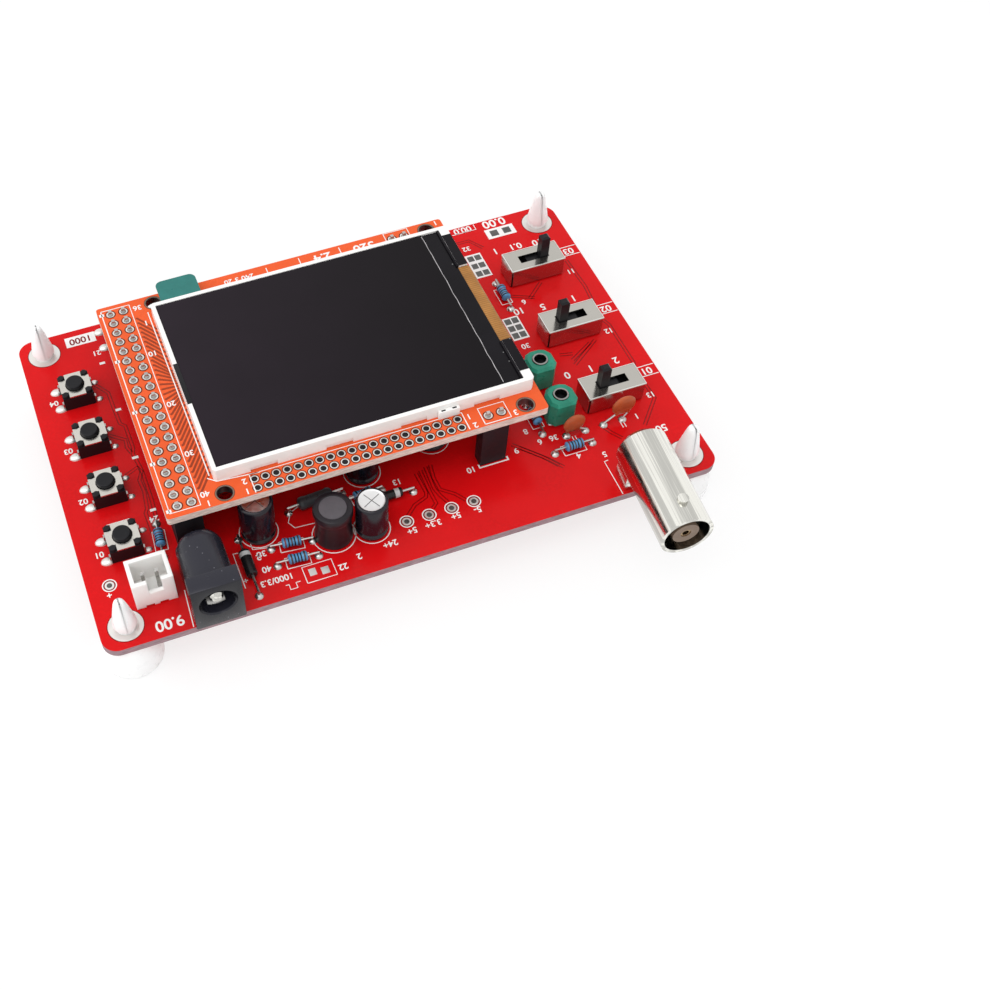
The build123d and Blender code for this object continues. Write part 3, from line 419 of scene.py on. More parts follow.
class Finish:
    """A procedural material in the making, all on Object coordinates."""

    def __init__(self, name, **sockets):
        self.name = name
        self.material = bpy.data.materials.new(f"{name}_finish")
        self.material.use_nodes = True
        self.tree = self.material.node_tree
        self.shader = self.tree.nodes["Principled BSDF"].inputs
        self.here = wired(self.tree, "TexCoord", {})
        for socket, value in sockets.items():
            feed(self.tree, self.shader[socket.replace("_", " ")], value)

    def add(self, kind, output, inputs, **settings):
        """Adds a node and returns one of its outputs."""
        return wired(self.tree, kind, inputs, **settings)[output]

    def noise(self, size, detail=3.0, stretch=None):
        """Noise with features of about this size in mm; a stretch draws it out along each axis."""
        place = self.here["Object"]
        if stretch:
            place = self.add("Mapping", "Vector", {"Vector": place, "Scale": [1 / s for s in stretch]})
        return self.add("TexNoise", "Fac", {
            "Vector": place, "Scale": 1 / (size * MM), "Detail": detail, "Roughness": 0.55})

    def drawn(self, size, along, angle):
        """Streaks a size in mm across, drawn out by a factor along Y turned by an angle."""
        place = self.add("Mapping", "Vector", {
            "Vector": self.here["Object"], "Rotation": (0, 0, angle), "Scale": (1, along, 1),
        }, vector_type="TEXTURE")
        return self.add("TexNoise", "Fac", {"Vector": place, "Scale": 1 / (size * MM), "Detail": 3})

    def bands(self, width, axis):
        """Stripes across an axis, one pair per width in mm."""
        return self.add("TexWave", "Fac", {
            "Vector": self.here["Object"], "Scale": pi / 10 / (width * MM)}, bands_direction=axis)

    def specks(self, spacing, size):
        """1 in small spots of a size in mm, scattered this far apart and missing in places."""
        cells = self.add("TexVoronoi", "Distance", {
            "Vector": self.here["Object"], "Scale": 1 / (spacing * MM)})
        spots = self.remap(cells, size / spacing, 0.6 * size / spacing)
        return self.math("MULTIPLY", spots, self.remap(self.noise(spacing * 2.5, 1), 0.5, 0.56))

    def remap(self, value, start, end, low=0.0, high=1.0):
        """Value from start..end onto low..high, held at both ends."""
        return self.add("MapRange", "Result", {
            "Value": value, "From Min": start, "From Max": end, "To Min": low, "To Max": high})

    def math(self, operation, *values):
        """A sum with one or two values."""
        return self.add("Math", 0, dict(enumerate(values)), operation=operation)

    def mix(self, share, first, second):
        """Colour between first and second."""
        return self.add("Mix", 2, {0: share, 6: first, 7: second}, data_type="RGBA")

    def part(self, which, axis):
        """One axis of a set of coordinates."""
        return self.add("SeparateXYZ", axis, {0: self.here[which]})

    def facing_up(self, low=0.45, high=0.55):
        """1 on faces that look up or down, 0 on upright ones."""
        return self.remap(self.math("ABSOLUTE", self.part("Normal", "Z")), low, high)

    def colour(self, value):
        feed(self.tree, self.shader["Base Color"], value)

    def gloss(self, value):
        feed(self.tree, self.shader["Roughness"], value)

    def relief(self, height, depth):
        """Adds a bump of a depth in mm to the surface."""
        inputs = {"Height": height, "Strength": 1.0, "Distance": depth * MM}
        normal = self.shader["Normal"]
        if normal.is_linked:
            inputs["Normal"] = normal.links[0].from_socket
        feed(self.tree, normal, self.add("Bump", "Normal", inputs))

    def keep(self):
        """Makes the finish known under its name."""
        FINISHES[self.name] = self.material


def tinted(colour, factor):
    """A colour made lighter or darker."""
    return tuple(min(1.0, c * factor) for c in colour[:3])


def moulded(name, colour, roughness=0.42, mottle=0.12, grain=0.25, depth=0.004, shine=0.5, **sockets):
    """Moulded plastic: faint cloudiness, fine grain, and rubbed patches that shine a little more."""
    made = Finish(name, Specular_IOR_Level=shine, **sockets)
    cloud = made.remap(made.noise(2.5), 0.3, 0.7)
    made.colour(made.mix(cloud, tinted(colour, 1 - mottle), tinted(colour, 1 + mottle)))
    made.gloss(made.remap(made.noise(1.2, 5), 0.3, 0.7, roughness - 0.07, roughness + 0.1))
    made.relief(made.noise(grain, 2), depth)
    made.keep()


def dust_and_painted_sheen(name, colour, roughness, spacing, size, dust, shine=0.2, painted_sheen_span=0.0, painted_top_light=0.0):
    """Dark smooth plastic or glass with pale specks of dust and faint clouding.

    A painted sheen makes it lighter on the left and darker to the right over a span in metres, and a painted
    top highlight makes it paler by its own factor on top, with painted shade on the upright sides.
    """
    made = Finish(name, Specular_IOR_Level=shine)
    cloud = made.mix(made.remap(made.noise(9, 2), 0.3, 0.7), tinted(colour, 0.8), tinted(colour, 1.25))
    # painted sheen: lighter on the left, darker to the right
    if painted_sheen_span:
        near = made.mix(0.5, tinted(colour, 2.6), cloud)
        cloud = made.mix(made.remap(made.part("Object", "X"), -painted_sheen_span, painted_sheen_span), near, tinted(colour, 0.25))
    # painted top highlight on faces that look up, painted shade on the upright sides
    if painted_top_light:
        side = made.mix(0.5, tinted(colour, 0.3), cloud)
        cloud = made.mix(made.facing_up(0.05, 0.95), side, tinted(colour, painted_top_light))
    made.colour(made.mix(made.math("MULTIPLY", made.specks(spacing, size), 0.8), cloud, dust))
    made.gloss(made.remap(made.noise(2, 4), 0.3, 0.7, roughness * 0.8, roughness * 1.3))
    made.relief(made.noise(1.5, 2), 0.0006)
    made.keep()


def metal(name, colour, roughness=0.25, size=0.8, depth=0.002, dull=0.75):
    """Plated or tinned metal: clouded tarnish and uneven shine."""
    made = Finish(name, Metallic=1.0)
    made.colour(made.mix(made.remap(made.noise(size * 2, 4), 0.35, 0.7), tinted(colour, dull), colour))
    made.gloss(made.remap(made.noise(size, 4), 0.3, 0.7, roughness * 0.7, roughness * 1.4))
    made.relief(made.noise(size * 0.4, 3), depth)
    made.keep()


def masked(name, mask, laminate, dark):
    """Solder mask over copper on the faces of a board, and cut glass cloth at its edges."""
    made = Finish(name, Specular_IOR_Level=0.13)
    up = made.facing_up()
    tone = made.mix(made.remap(made.noise(9, 2), 0.35, 0.65), tinted(mask, dark), mask)
    weave = made.mix(made.remap(made.noise(0.6, 2), 0.4, 0.6), tone, tinted(mask, 0.93))
    layers = made.noise(0.25, 3, (6, 6, 0.6))
    edge = made.mix(made.remap(layers, 0.35, 0.65), tinted(laminate, 0.72), tinted(laminate, 1.2))
    made.colour(made.mix(up, edge, weave))
    haze = made.remap(made.noise(14, 4), 0.3, 0.7, 0.17, 0.27)
    made.gloss(made.add("Mix", 0, {0: up, 2: 0.75, 3: haze}))
    made.relief(made.noise(1.6, 2), 0.006)
    made.relief(layers, 0.01)
    made.keep()


def plated(name, colour):
    """Bright plate on the turned shell, with fine drawn lines along it, and broad dark bands along it that
    are painted reflections.
    """
    made = Finish(name, Metallic=1.0)
    fine = made.drawn(0.25, 60, SHELL_TURN)
    # painted reflection: broad dark bands along the shell
    lines = made.mix(made.remap(made.drawn(1.1, 60, SHELL_TURN), 0.46, 0.54), tinted(colour, 0.62), colour)
    made.colour(made.mix(made.remap(fine, 0.3, 0.5), tinted(colour, 0.8), lines))
    made.gloss(made.remap(made.noise(2, 3), 0.3, 0.7, 0.12, 0.2))
    made.relief(fine, 0.0005)
    made.keep()


def ribbed(name, colour):
    """Golden film with the fine conductors that run along it."""
    made = Finish(name, Specular_IOR_Level=0.2)
    lines = made.remap(made.bands(0.5, "Y"), 0.35, 0.6)
    film = made.mix(made.remap(made.noise(3), 0.3, 0.7), tinted(colour, 0.8), tinted(colour, 1.2))
    made.colour(made.mix(lines, made.mix(0.5, film, tinted(colour, 0.5)), film))
    made.gloss(made.remap(made.noise(1), 0.3, 0.7, 0.2, 0.35))
    made.relief(lines, 0.01)
    made.keep()


# ---------------------------------------------------------------- settings
def tone(name, description, value):
    """A colour setting."""
    return bpy.props.FloatVectorProperty(
        name=name, description=description, default=value, size=3, subtype="COLOR", min=0, max=1)


def amount(name, description, value, low, high):
    """A plain number."""
    return bpy.props.FloatProperty(name=name, description=description, default=value, min=low, max=high)


def vector(name, description, value, **kind):
    """A place, a turn or a shift."""
    return bpy.props.FloatVectorProperty(name=name, description=description, default=value, **kind)


def length(name, description, value):
    """A length setting."""
    return bpy.props.FloatProperty(
        name=name, description=description, default=value, unit="LENGTH", precision=5)


class BoardSettings(bpy.types.PropertyGroup):
    """Colours and line widths of the two boards"""
    mask: tone("Main board mask", "Solder mask of the main board", (0.68, 0.005, 0.007))
    laminate: tone("Main board edge", "Glass cloth at the main board's edges", (0.33, 0.22, 0.24))
    panel_mask: tone("Display board mask", "Solder mask of the display board", (0.82, 0.115, 0.03))
    panel_laminate: tone("Display board edge", "Glass cloth at its edges", (0.70, 0.56, 0.50))
    ink: tone("Ink", "White ink printed on both boards", (0.86, 0.85, 0.84))
    ink_width: length("Ink line", "Width of a printed line", 0.18 * MM)
    trace_width: length("Trace line", "Width of the gap that shows beside a trace", 0.2 * MM)


class PartSettings(bpy.types.PropertyGroup):
    """Colours of the parts soldered to the boards"""
    plastic: tone("Black plastic", "Switches, sockets and chips", (0.008, 0.008, 0.010))
    jack: tone("Jack plastic", "Power jack body", (0.017, 0.017, 0.025))
    white: tone("White plastic", "Display tray and power header", (0.88, 0.87, 0.85))
    nylon: tone("Nylon", "Standoffs", (0.95, 0.96, 0.96))
    tin: tone("Tinned metal", "Leads, pads and solder", (0.58, 0.57, 0.55))
    steel: tone("Plated steel", "Switch covers and cans", (0.52, 0.50, 0.46))
    nickel: tone("Nickel", "Probe socket shell", (0.88, 0.87, 0.81))
    gold: tone("Gold", "Probe socket contact", (0.42, 0.29, 0.16))
    teal: tone("Trimmer plastic", "Trimmer capacitor caps", (0.015, 0.20, 0.13))
    resistor: tone("Resistor enamel", "Resistor bodies", (0.08, 0.27, 0.50))
    disc: tone("Dipped ceramic", "Disc capacitors", (0.42, 0.09, 0.03))
    sleeve: tone("Capacitor sleeve", "Sleeves of the electrolytic capacitors", (0.012, 0.010, 0.016))


class DisplaySettings(bpy.types.PropertyGroup):
    """Colours of the display module"""
    glass: tone("Glass", "Dark display glass", (0.009, 0.006, 0.009))
    tape: tone("Tape", "Black tape over the driver strip", (0.006, 0.005, 0.007))
    flex: tone("Flex", "Golden ribbon that folds under the module", (0.42, 0.19, 0.05))
    tab: tone("Pull tab", "Teal film tab", (0.028, 0.19, 0.17))


class StudioSettings(bpy.types.PropertyGroup):
    """Camera, light and floor"""
    lens: amount("Lens", "Focal length of the camera in mm", 47.56, 10, 200)
    camera_place: vector("Camera place", "Where the camera stands",
                         (-0.05264, -0.14873, 0.20294), unit="LENGTH")
    camera_turn: vector("Camera turn", "Euler angles of the camera",
                        (radians(34.4136), radians(1.7505), radians(-19.1746)), subtype="EULER")
    camera_shift: vector("Camera shift", "Sideways and upward shift of the frame", (0.166, 0.0465), size=2)
    sky: amount("Sky", "Brightness of the even light from all round", 0.94, 0, 2)
    lamps: amount("Lamps", "Share of the full power of the soft lamps", 1.0, 0, 5)
    floor: tone("Floor", "Pale floor", (0.94, 0.94, 0.94))


class OSCILLOSCOPE_OT_finishes(bpy.types.Operator):
    """Mixes the materials and paints the CAD nodes that keep their own shape"""
    bl_idname = "oscilloscope.finishes"
    bl_label = "Finishes"

    MILKY = {"Subsurface_Weight": 0.9, "Subsurface_Radius": (1, 1, 1), "Subsurface_Scale": 0.6 * MM}
    NODES = {
        "mask": "main_board",
        "panel": "display_board",
        "dull": "header_sockets header_plugs chips regulators",
        "tin": "header_pins jack_spring button_legs power_header_pins component_leads",
        "white": "display_frame",
        "glass": "display_lower_glass display_upper_glass",
        "tape": "display_tapes",
        "flex": "display_flex",
        "nickel": "jack_pin bnc_shell",
        "beige": "bnc_insulator",
        "gold": "bnc_contact",
        "black": "button_bases slide_bodies slide_lever_1 slide_lever_2 slide_lever_3",
        "cover": "button_covers",
        "steel": "slide_cans crystal",
        "teal": "trimmer_bodies",
        "milky": "power_header_housing",
    }

    def execute(self, context):
        self.boards(context.scene.scope_boards)
        self.plastics(context.scene.scope_parts)
        self.metals(context.scene.scope_parts)
        self.display(context.scene.scope_display)
        for finish, nodes in self.NODES.items():
            for node in nodes.split():
                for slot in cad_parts[node].material_slots:
                    slot.material = FINISHES[finish]
        return {"FINISHED"}

    def boards(self, boards):
        """Solder mask, the dark gaps in it, and ink."""
        masked("mask", boards.mask, boards.laminate, 0.86)
        masked("panel", boards.panel_mask, boards.panel_laminate, 0.9)
        moulded("trace", tinted(boards.mask, 0.32), 0.25, shine=0.2)
        moulded("panel_trace", tinted(boards.panel_mask, 0.36), 0.3, shine=0.2)
        moulded("rim", tinted(boards.panel_mask, 0.16), 0.4, shine=0.1)
        moulded("ink", boards.ink, 0.55, 0.05, shine=0.2)

    def plastics(self, parts):
        """Plastics, sleeves and enamels."""
        moulded("black", parts.plastic, 0.36, shine=0.22)
        dust_and_painted_sheen("dull", tinted(parts.plastic, 1.2), 0.5, 1.4, 0.1, (0.10, 0.08, 0.09), 0.25)
        # jack: real dust specks, a painted top highlight and painted shade on its sides
        dust_and_painted_sheen("jack", tinted(parts.jack, 0.8), 0.22, 1.1, 0.11, (0.22, 0.22, 0.25), 0.3, painted_top_light=1.5)
        moulded("white", parts.white, 0.38, 0.04, shine=0.3)
        moulded("milky", tinted(parts.white, 1.04), 0.35, 0.02, 0.6, 0.003, 0.3, **self.MILKY)
        moulded("nylon", parts.nylon, 0.3, 0.01, 1.5, 0.0015, 0.35, **self.MILKY)
        moulded("beige", (0.20, 0.14, 0.10), 0.4, shine=0.3)
        moulded("teal", tinted(parts.teal, 1.25), 0.3, 0.2, shine=0.3)
        moulded("sleeve", tinted(parts.sleeve, 0.75), 0.2, 0.2, 1.5, 0.003, 0.35)
        moulded("sleeve_stripe", (0.16, 0.14, 0.19), 0.25, 0.25, 0.8)
        # painted shade for the scored grooves in the capacitor tops
        moulded("score_shade", (0.12, 0.12, 0.12), 0.5)
        moulded("shrink", (0.012, 0.009, 0.012), 0.34, 0.3, 1.2, 0.004, 0.25)
        moulded("ferrite", (0.075, 0.066, 0.076), 0.5, 0.15, 0.3, 0.004)
        moulded("disc", parts.disc, 0.3, 0.2, 0.9, 0.006, 0.3)
        moulded("enamel", parts.resistor, 0.25, 0.15, shine=0.4)
        moulded("enamel_grey", (0.05, 0.055, 0.06), 0.3, 0.25, 0.8, shine=0.3)
        moulded("diode", (0.010, 0.010, 0.011), 0.22, shine=0.3)
        moulded("diode_band", (0.50, 0.50, 0.50), 0.4, 0.1)
        moulded("brown", (0.045, 0.018, 0.014), 0.3)
        moulded("red", (0.16, 0.02, 0.03), 0.3)

    def metals(self, parts):
        """Solder, plating and sheet, and a dark metal for painted shade."""
        metal("tin", parts.tin, 0.28, 1.2, 0.001)
        metal("pin", tinted(parts.tin, 0.62), 0.22, 1.0, 0.0008)
        metal("solder", tinted(parts.tin, 1.1), 0.3, 1.3, 0.0015, 0.86)
        metal("plate", tinted(parts.tin, 1.42), 0.42, 1.5, 0.0008, 0.93)
        metal("dull_pad", tinted(parts.tin, 0.28), 0.45, 0.6, 0.001, 0.7)
        metal("cover", tinted(parts.steel, 1.3), 0.25, 4.0, 0.0003, 0.95)
        metal("steel", parts.steel, 0.17, 4.0, 0.0003, 0.95)
        plated("nickel", parts.nickel)
        metal("gold", parts.gold, 0.3)
        metal("can_top", (0.86, 0.86, 0.86), 0.35, 0.8, 0.0005, 0.92)
        # painted shade for the walls of the trimmers' bores
        metal("shadow", (0.04, 0.04, 0.045), 0.5)

    def display(self, display):
        """Glass, film, tape and flex."""
        # glass: real dust specks and a painted sheen that darkens to the right
        dust_and_painted_sheen("glass", display.glass, 0.13, 6.0, 0.08, (0.12, 0.11, 0.12), 0.12, painted_sheen_span=0.03)
        dust_and_painted_sheen("tape", display.tape, 0.24, 1.9, 0.16, (0.3, 0.3, 0.3), 0.12)
        # painted highlight for the glinting edges of the film and of the tape folds
        moulded("edge_glint", (0.42, 0.40, 0.41), 0.4, 0.4, 0.8)
        ribbed("flex", display.flex)
        moulded("tab", tinted(display.tab, 0.9), 0.32, 0.08, 1.5, 0.003, 0.25)


# ---------------------------------------------------------------- standoffs
class OSCILLOSCOPE_OT_standoffs(bpy.types.Operator):
    """Four push-in nylon standoffs with bell feet and split bullet tips"""
    bl_idname = "oscilloscope.standoffs"
    bl_label = "Standoffs"

    FOOT = (
        (4.7, 0.0), (5.25, 0.2), (5.55, 0.8), (5.6, 1.6), (5.6, 2.9), (5.42, 4.2), (5.0, 5.6), (4.55, 7.0),
        (4.2, 7.99), (1.88, 8.0), (1.88, 10.6),
    )
    TIP = (
        (1.95, 10.6), (2.2, 10.8), (2.12, 11.5), (1.92, 12.6), (1.65, 14.0), (1.38, 15.4), (1.12, 16.6),
        (0.88, 17.3), (0.6, 17.56), (0.25, 17.6),
    )
    HALF_SLIT = 0.07 * MM
    PAD_HOLE, PAD, PAD_RIM = 1.9, 3.15, 3.32

    def execute(self, context):
        members = [turned(self.FOOT, 48)]
        for side in (-1, 1):
            half = turned(self.TIP, 40)
            edit(half)
            bpy.ops.mesh.bisect(plane_co=(side * self.HALF_SLIT, 0, 0), plane_no=(side, 0, 0),
                                use_fill=True, clear_inner=True)
            members.append(closed(half))
        places = [solid.middle.xy for solid in solids("standoffs")]
        finished(spread(joined(*members), places, whole("standoffs").low.z),
                 "nylon_standoffs", "nylon", instead=["standoffs"])
        finished(spread(ring(self.PAD_HOLE, self.PAD, 40, 0.04), places, BOARD_TOP),
                 "standoff_hole_pads", "plate")
        finished(spread(ring(self.PAD, self.PAD_RIM, 40), places, BOARD_TOP + COPPER_LIFT),
                 "standoff_pad_rims", "trace")
        return {"FINISHED"}


# ---------------------------------------------------------------- upright parts
class OSCILLOSCOPE_OT_capacitors(bpy.types.Operator):
    """Electrolytic capacitors: crimped sleeves with a pale stripe, and scored aluminium tops whose score
    lines are dark strips of painted shade
    """
    bl_idname = "oscilloscope.capacitors"
    bl_label = "Electrolytic capacitors"

    FOOT = (                  # insets from the can's radius, and heights
        (0.5, 0), (0.12, 0.12), (0, 0.45), (0, 0.95), (0.3, 1.25), (0.3, 1.45), (0, 1.8),
    )
    HEAD = (                  # the same, down from the top
        (0, 0.5), (0.1, 0.2), (0.35, 0.02), (0.6, 0), (0.68, 0.12), (0.8, 0.16),
    )
    SLEEVE_EDGE = 0.64
    STRIPE_TURN, STRIPE_HALF = 2.2, 0.3     # where the stripe faces and half its angle, in radians
    SCORE_TURN, SCORE_INSET = 0.5, 1.1

    def execute(self, context):
        members = []
        for solid in solids("electrolytic_capacitors"):
            radius, height = solid.size.x / 2, solid.size.z
            can = turned([(radius - inset, up) for inset, up in self.FOOT]
                         + [(radius - inset, height - down) for inset, down in self.HEAD]
                         + [(0.3, height - 0.14)], 48)

            def zone(face):
                """0 on the sleeve, 1 on its stripe, 2 on the top inside the sleeve's edge."""
                if from_axis(face) < radius - self.SLEEVE_EDGE and face.center.z > (height - 0.38) * MM:
                    return 2
                aside = abs(atan2(face.center.y, face.center.x) - self.STRIPE_TURN)
                return int(aside < self.STRIPE_HALF and from_axis(face) > radius - 0.35)

            members.append(stood(paint(can, ("sleeve", "sleeve_stripe", "can_top"), zone), solid))
            x, y = solid.middle.xy
            paths = []
            for turn in (self.SCORE_TURN, self.SCORE_TURN + pi / 2):
                reach = (radius - self.SCORE_INSET) * MM
                across, along = reach * cos(turn), reach * sin(turn)
                paths.append([(x - across, y - along), (x + across, y + along)])
            # painted shade: dark strips along the score lines
            members.append(strips("score_shade", paths, 0.14 * MM, solid.high.z - 0.12 * MM))
        finished(members, "electrolytics", instead=["electrolytic_capacitors"])
        return {"FINISHED"}


class OSCILLOSCOPE_OT_inductor(bpy.types.Operator):
    """Drum inductor in a black shrink sleeve, its ferrite top showing inside the rim"""
    bl_idname = "oscilloscope.inductor"
    bl_label = "Drum inductor"

    FOOT = ((0.45, 0), (0.15, 0.25), (0.1, 0.7), (0.3, 1.4))
    HEAD = (
        (0.32, 2.6), (0.18, 2.0), (0, 1.5), (0, 0.5), (0.1, 0.14), (0.4, 0), (0.95, 0), (1.1, 0.12),
        (1.15, 0.22),
    )
    SLEEVE_EDGE = 1.1

    def execute(self, context):
        solid = whole("drum_inductor")
        rim, height = solid.size.x / 2, solid.size.z
        drum = turned([(rim - inset, up) for inset, up in self.FOOT]
                      + [(rim - inset, height - down) for inset, down in self.HEAD]
                      + [(0.3, height - 0.2)], 56)
        paint(drum, ("shrink", "ferrite"), lambda face: int(
            from_axis(face) < rim - self.SLEEVE_EDGE and face.center.z > (height - 0.5) * MM))
        finished(stood(drum, solid), "shrink_sleeved_inductor", instead=["drum_inductor"])
        return {"FINISHED"}


class OSCILLOSCOPE_OT_discs(bpy.types.Operator):
    """Dipped ceramic disc capacitors, with the dip running a little way down their leads"""
    bl_idname = "oscilloscope.discs"
    bl_label = "Disc capacitors"

    RIM = ((0.4, 0.97), (0.65, 0.82), (0.85, 0.55), (0.96, 0.26))     # shares of radius and half thickness
    DRIP = ((0.3, 0), (0.36, 0.3), (0.5, 0.8), (0.55, 1.4))
    DRIP_PLACE = 0.52 * MM    # for each mm of the disc's radius
    DRIP_LEAN = 0.25

    def execute(self, context):
        members = []
        for solid in solids("ceramic_discs"):
            radius, half = solid.size.z / 2, solid.size.y / 2
            end = [(0.4, -half)] + [(radius * out, -half * up) for out, up in self.RIM]
            members.append(settled(turned(mirrored(end, (radius, 0)), 36), solid.middle, (pi / 2, 0, 0)))
            x, y, z = solid.middle.x, solid.middle.y, solid.low.z + 0.05 * MM
            for side in (-1, 1):
                place = (x + side * radius * self.DRIP_PLACE, y, z)
                members.append(settled(turned(self.DRIP, 16), place, (0, -side * self.DRIP_LEAN, 0)))
        finished(members, "dipped_discs", "disc", instead=["ceramic_discs"])
        return {"FINISHED"}


# ---------------------------------------------------------------- parts that lie on the board
class OSCILLOSCOPE_OT_resistors(bpy.types.Operator):
    """Blue film resistors with capped ends and colour bands"""
    bl_idname = "oscilloscope.resistors"
    bl_label = "Resistors"

    HALF, RADIUS, WAIST = 1.75, 0.95, 0.81
    BANDS = (
        ("black", "brown", "black", "red", "brown"),
        ("brown", "black", "black", "black", "brown"),
        ("red", "black", "brown", "black", "brown"),
    )
    ENDS = ((-1.34, -1.02), (-0.68, -0.42), (-0.13, 0.13), (0.42, 0.68), (1.02, 1.34))

    def execute(self, context):
        steps = [(self.WAIST if abs(end) < 0.9 else self.RADIUS, end) for band in self.ENDS for end in band]
        cap = [(0.3, -self.HALF), (0.73, 0.04 - self.HALF), (0.91, 0.2 - self.HALF)]

        def ringed(face):
            """The number of the band that the face is in, or 0."""
            return next((k for k, (start, end) in enumerate(self.ENDS, 1)
                         if start * MM < face.center.z < end * MM), 0)

        members = []
        for number, solid in enumerate(solids("resistors")):
            body = turned(mirrored(cap, *steps), 24)
            paint(body, ("enamel", *self.BANDS[number % len(self.BANDS)]), ringed)
            members.append(laid(body, solid))
        finished(members, "banded_resistors", instead=["resistors"])
        return {"FINISHED"}


class OSCILLOSCOPE_OT_diodes(bpy.types.Operator):
    """Moulded diodes with a pale band at one end, and the grey enamelled choke"""
    bl_idname = "oscilloscope.diodes"
    bl_label = "Diodes and choke"

    SLIMNESS = 0.84           # the diodes' share of their solids' height
    BAND = (1.5, 0.6)         # from the end of the diode

    def execute(self, context):
        members = []
        for solid in solids("diodes"):
            half, radius = max(solid.size.xy) / 2, self.SLIMNESS * solid.size.z / 2
            start, stop = (half - inset for inset in self.BAND)
            end = [(0.35, -half), (radius - 0.2, -half), (radius, 0.2 - half)]
            body = turned(mirrored(end, (radius, start), (radius, stop)), 32)
            paint(body, ("diode", "diode_band"), lambda face: int(start < face.center.z / MM < stop))
            members.append(laid(body, solid))
        finished(members, "banded_diodes", instead=["diodes"])
        solid = solids("axial_choke")[0]
        radius = solid.size.z / 2
        half = (solid.size.x - 2 * radius * abs(sin(solid.angle))) / cos(solid.angle) / 2
        end = [(0.35, -half), (radius - 0.4, 0.03 - half), (radius - 0.08, 0.35 - half), (radius, 0.9 - half),
               (radius - 0.12, 1.6 - half)]
        finished(laid(turned(mirrored(end), 32), solid),
                 "enamelled_choke", "enamel_grey", instead=["axial_choke"])
        return {"FINISHED"}


# ---------------------------------------------------------------- solder and pads
class OSCILLOSCOPE_OT_solder(bpy.types.Operator):
    """Plated pads and solder on both boards, above and below"""
    bl_idname = "oscilloscope.solder"
    bl_label = "Pads and solder"

    PAD_HOLE, PAD, PAD_RIM = 0.54, 0.8, 1.02
    PIN = ((0.56, 0), (0.52, 0.08), (0.42, 0.2), (0.34, 0.28), (0.25, 0.32), (0.1, 0.33))
    DOME = ((0.85, 0), (0.8, 0.12), (0.62, 0.34), (0.36, 0.5), (0.12, 0.54))
    BLOB = ((1.05, 0), (1.0, 0.2), (0.82, 0.5), (0.5, 0.7), (0.15, 0.76))
    BLOB_SCALE = Vector((1.25, 0.9, 0.8))
    BLOB_SHARES = (1.0, 0.62)     # sizes of the blobs at the left and at the right legs
    BLOB_SHIFT = 0.6 * MM         # outwards from the leg
    REACHES = 0.05 * MM           # a lead that ends this close to the board is soldered to it

    def execute(self, context):
        pins = [solid.middle.xy for solid in solids("header_pins")]
        finished(spread(turned(self.PIN, 16), pins, PANEL_TOP), "header_solder", "pin")
        finished(spread(ring(self.PAD_HOLE, self.PAD, 20, 0.03), pins, PANEL_TOP),
                 "header_pads", "plate")
        finished(spread(ring(self.PAD, self.PAD_RIM, 20), pins, PANEL_TOP + COPPER_LIFT),
                 "header_pad_rims", "rim")
        leads = [solid.foot.xy for solid in solids("component_leads")
                 if solid.low.z < BOARD_TOP + self.REACHES]
        finished(spread(turned(self.DOME, 14), leads, BOARD_TOP), "lead_solder", "solder")
        bases = [solid.middle for solid in solids("button_bases")]
        legs = [], []
        for solid in solids("button_legs"):
            base = min(bases, key=lambda middle: (middle - solid.foot).length)
            right = solid.foot.x > base.x
            shift = self.BLOB_SHIFT if right else -self.BLOB_SHIFT
            legs[right].append((solid.foot.x + shift, solid.foot.y))
        blobs = []
        for points, share in zip(legs, self.BLOB_SHARES):
            blob = turned(self.BLOB, 18)
            blob.scale = self.BLOB_SCALE * share
            blobs.append(spread(settled(blob), points, BOARD_TOP))
        finished(blobs, "button_solder", "plate")
        drop = turned([(radius, -height) for radius, height in self.DOME], 10)
        finished(spread(drop, pins + leads + legs[0] + legs[1], BOARD_LOW.z),
                 "underside_solder", "solder")
        return {"FINISHED"}


class OSCILLOSCOPE_OT_legs(bpy.types.Operator):
    """Bent tinned legs of the flat chips"""
    bl_idname = "oscilloscope.legs"
    bl_label = "Chip legs"

    WIDE_CHIP = 6             # a chip wider than this, in mm, has legs on all four sides
    FINE, COARSE = 0.8, 1.27
    CORNER = 0.6              # left free of legs along a side
    REACH = 0.46
    TOE = (0.5, 0.3, 0.12)
    BENDS = ((-0.2, 0.75), (-0.28, 0))      # sideways and upwards, from the foot to the chip

    def execute(self, context):
        leg = block(self.TOE, (self.TOE[0] / 2 * MM, 0, 0.08 * MM))
        edit(leg)
        pick_faces(leg, lambda face: face.normal.x < -0.9)
        for out, up in self.BENDS:
            bpy.ops.mesh.extrude_region_move(TRANSFORM_OT_translate={"value": (out * MM, 0, up * MM)})
        closed(leg)
        places = []
        for solid in solids("chips"):
            length, width = solid.size.xy
            all_round = min(length, width) > self.WIDE_CHIP
            pitch = self.FINE if all_round else self.COARSE
            for across, along, turn in ((length, width, 0), (width, length, pi / 2)):
                if not all_round and along < across:
                    continue
                count = int((along - self.CORNER) / pitch)
                for k in range(count):
                    step = (k - (count - 1) / 2) * pitch * MM
                    for side, half_turn in ((1, 0), (-1, pi)):
                        out = side * (across / 2 + self.REACH) * MM
                        x, y = (step, out) if turn else (out, step)
                        places.append((solid.middle.x + x, solid.middle.y + y, turn + half_turn))
        finished(spread(leg, places, BOARD_TOP), "chip_legs", "tin")
        return {"FINISHED"}


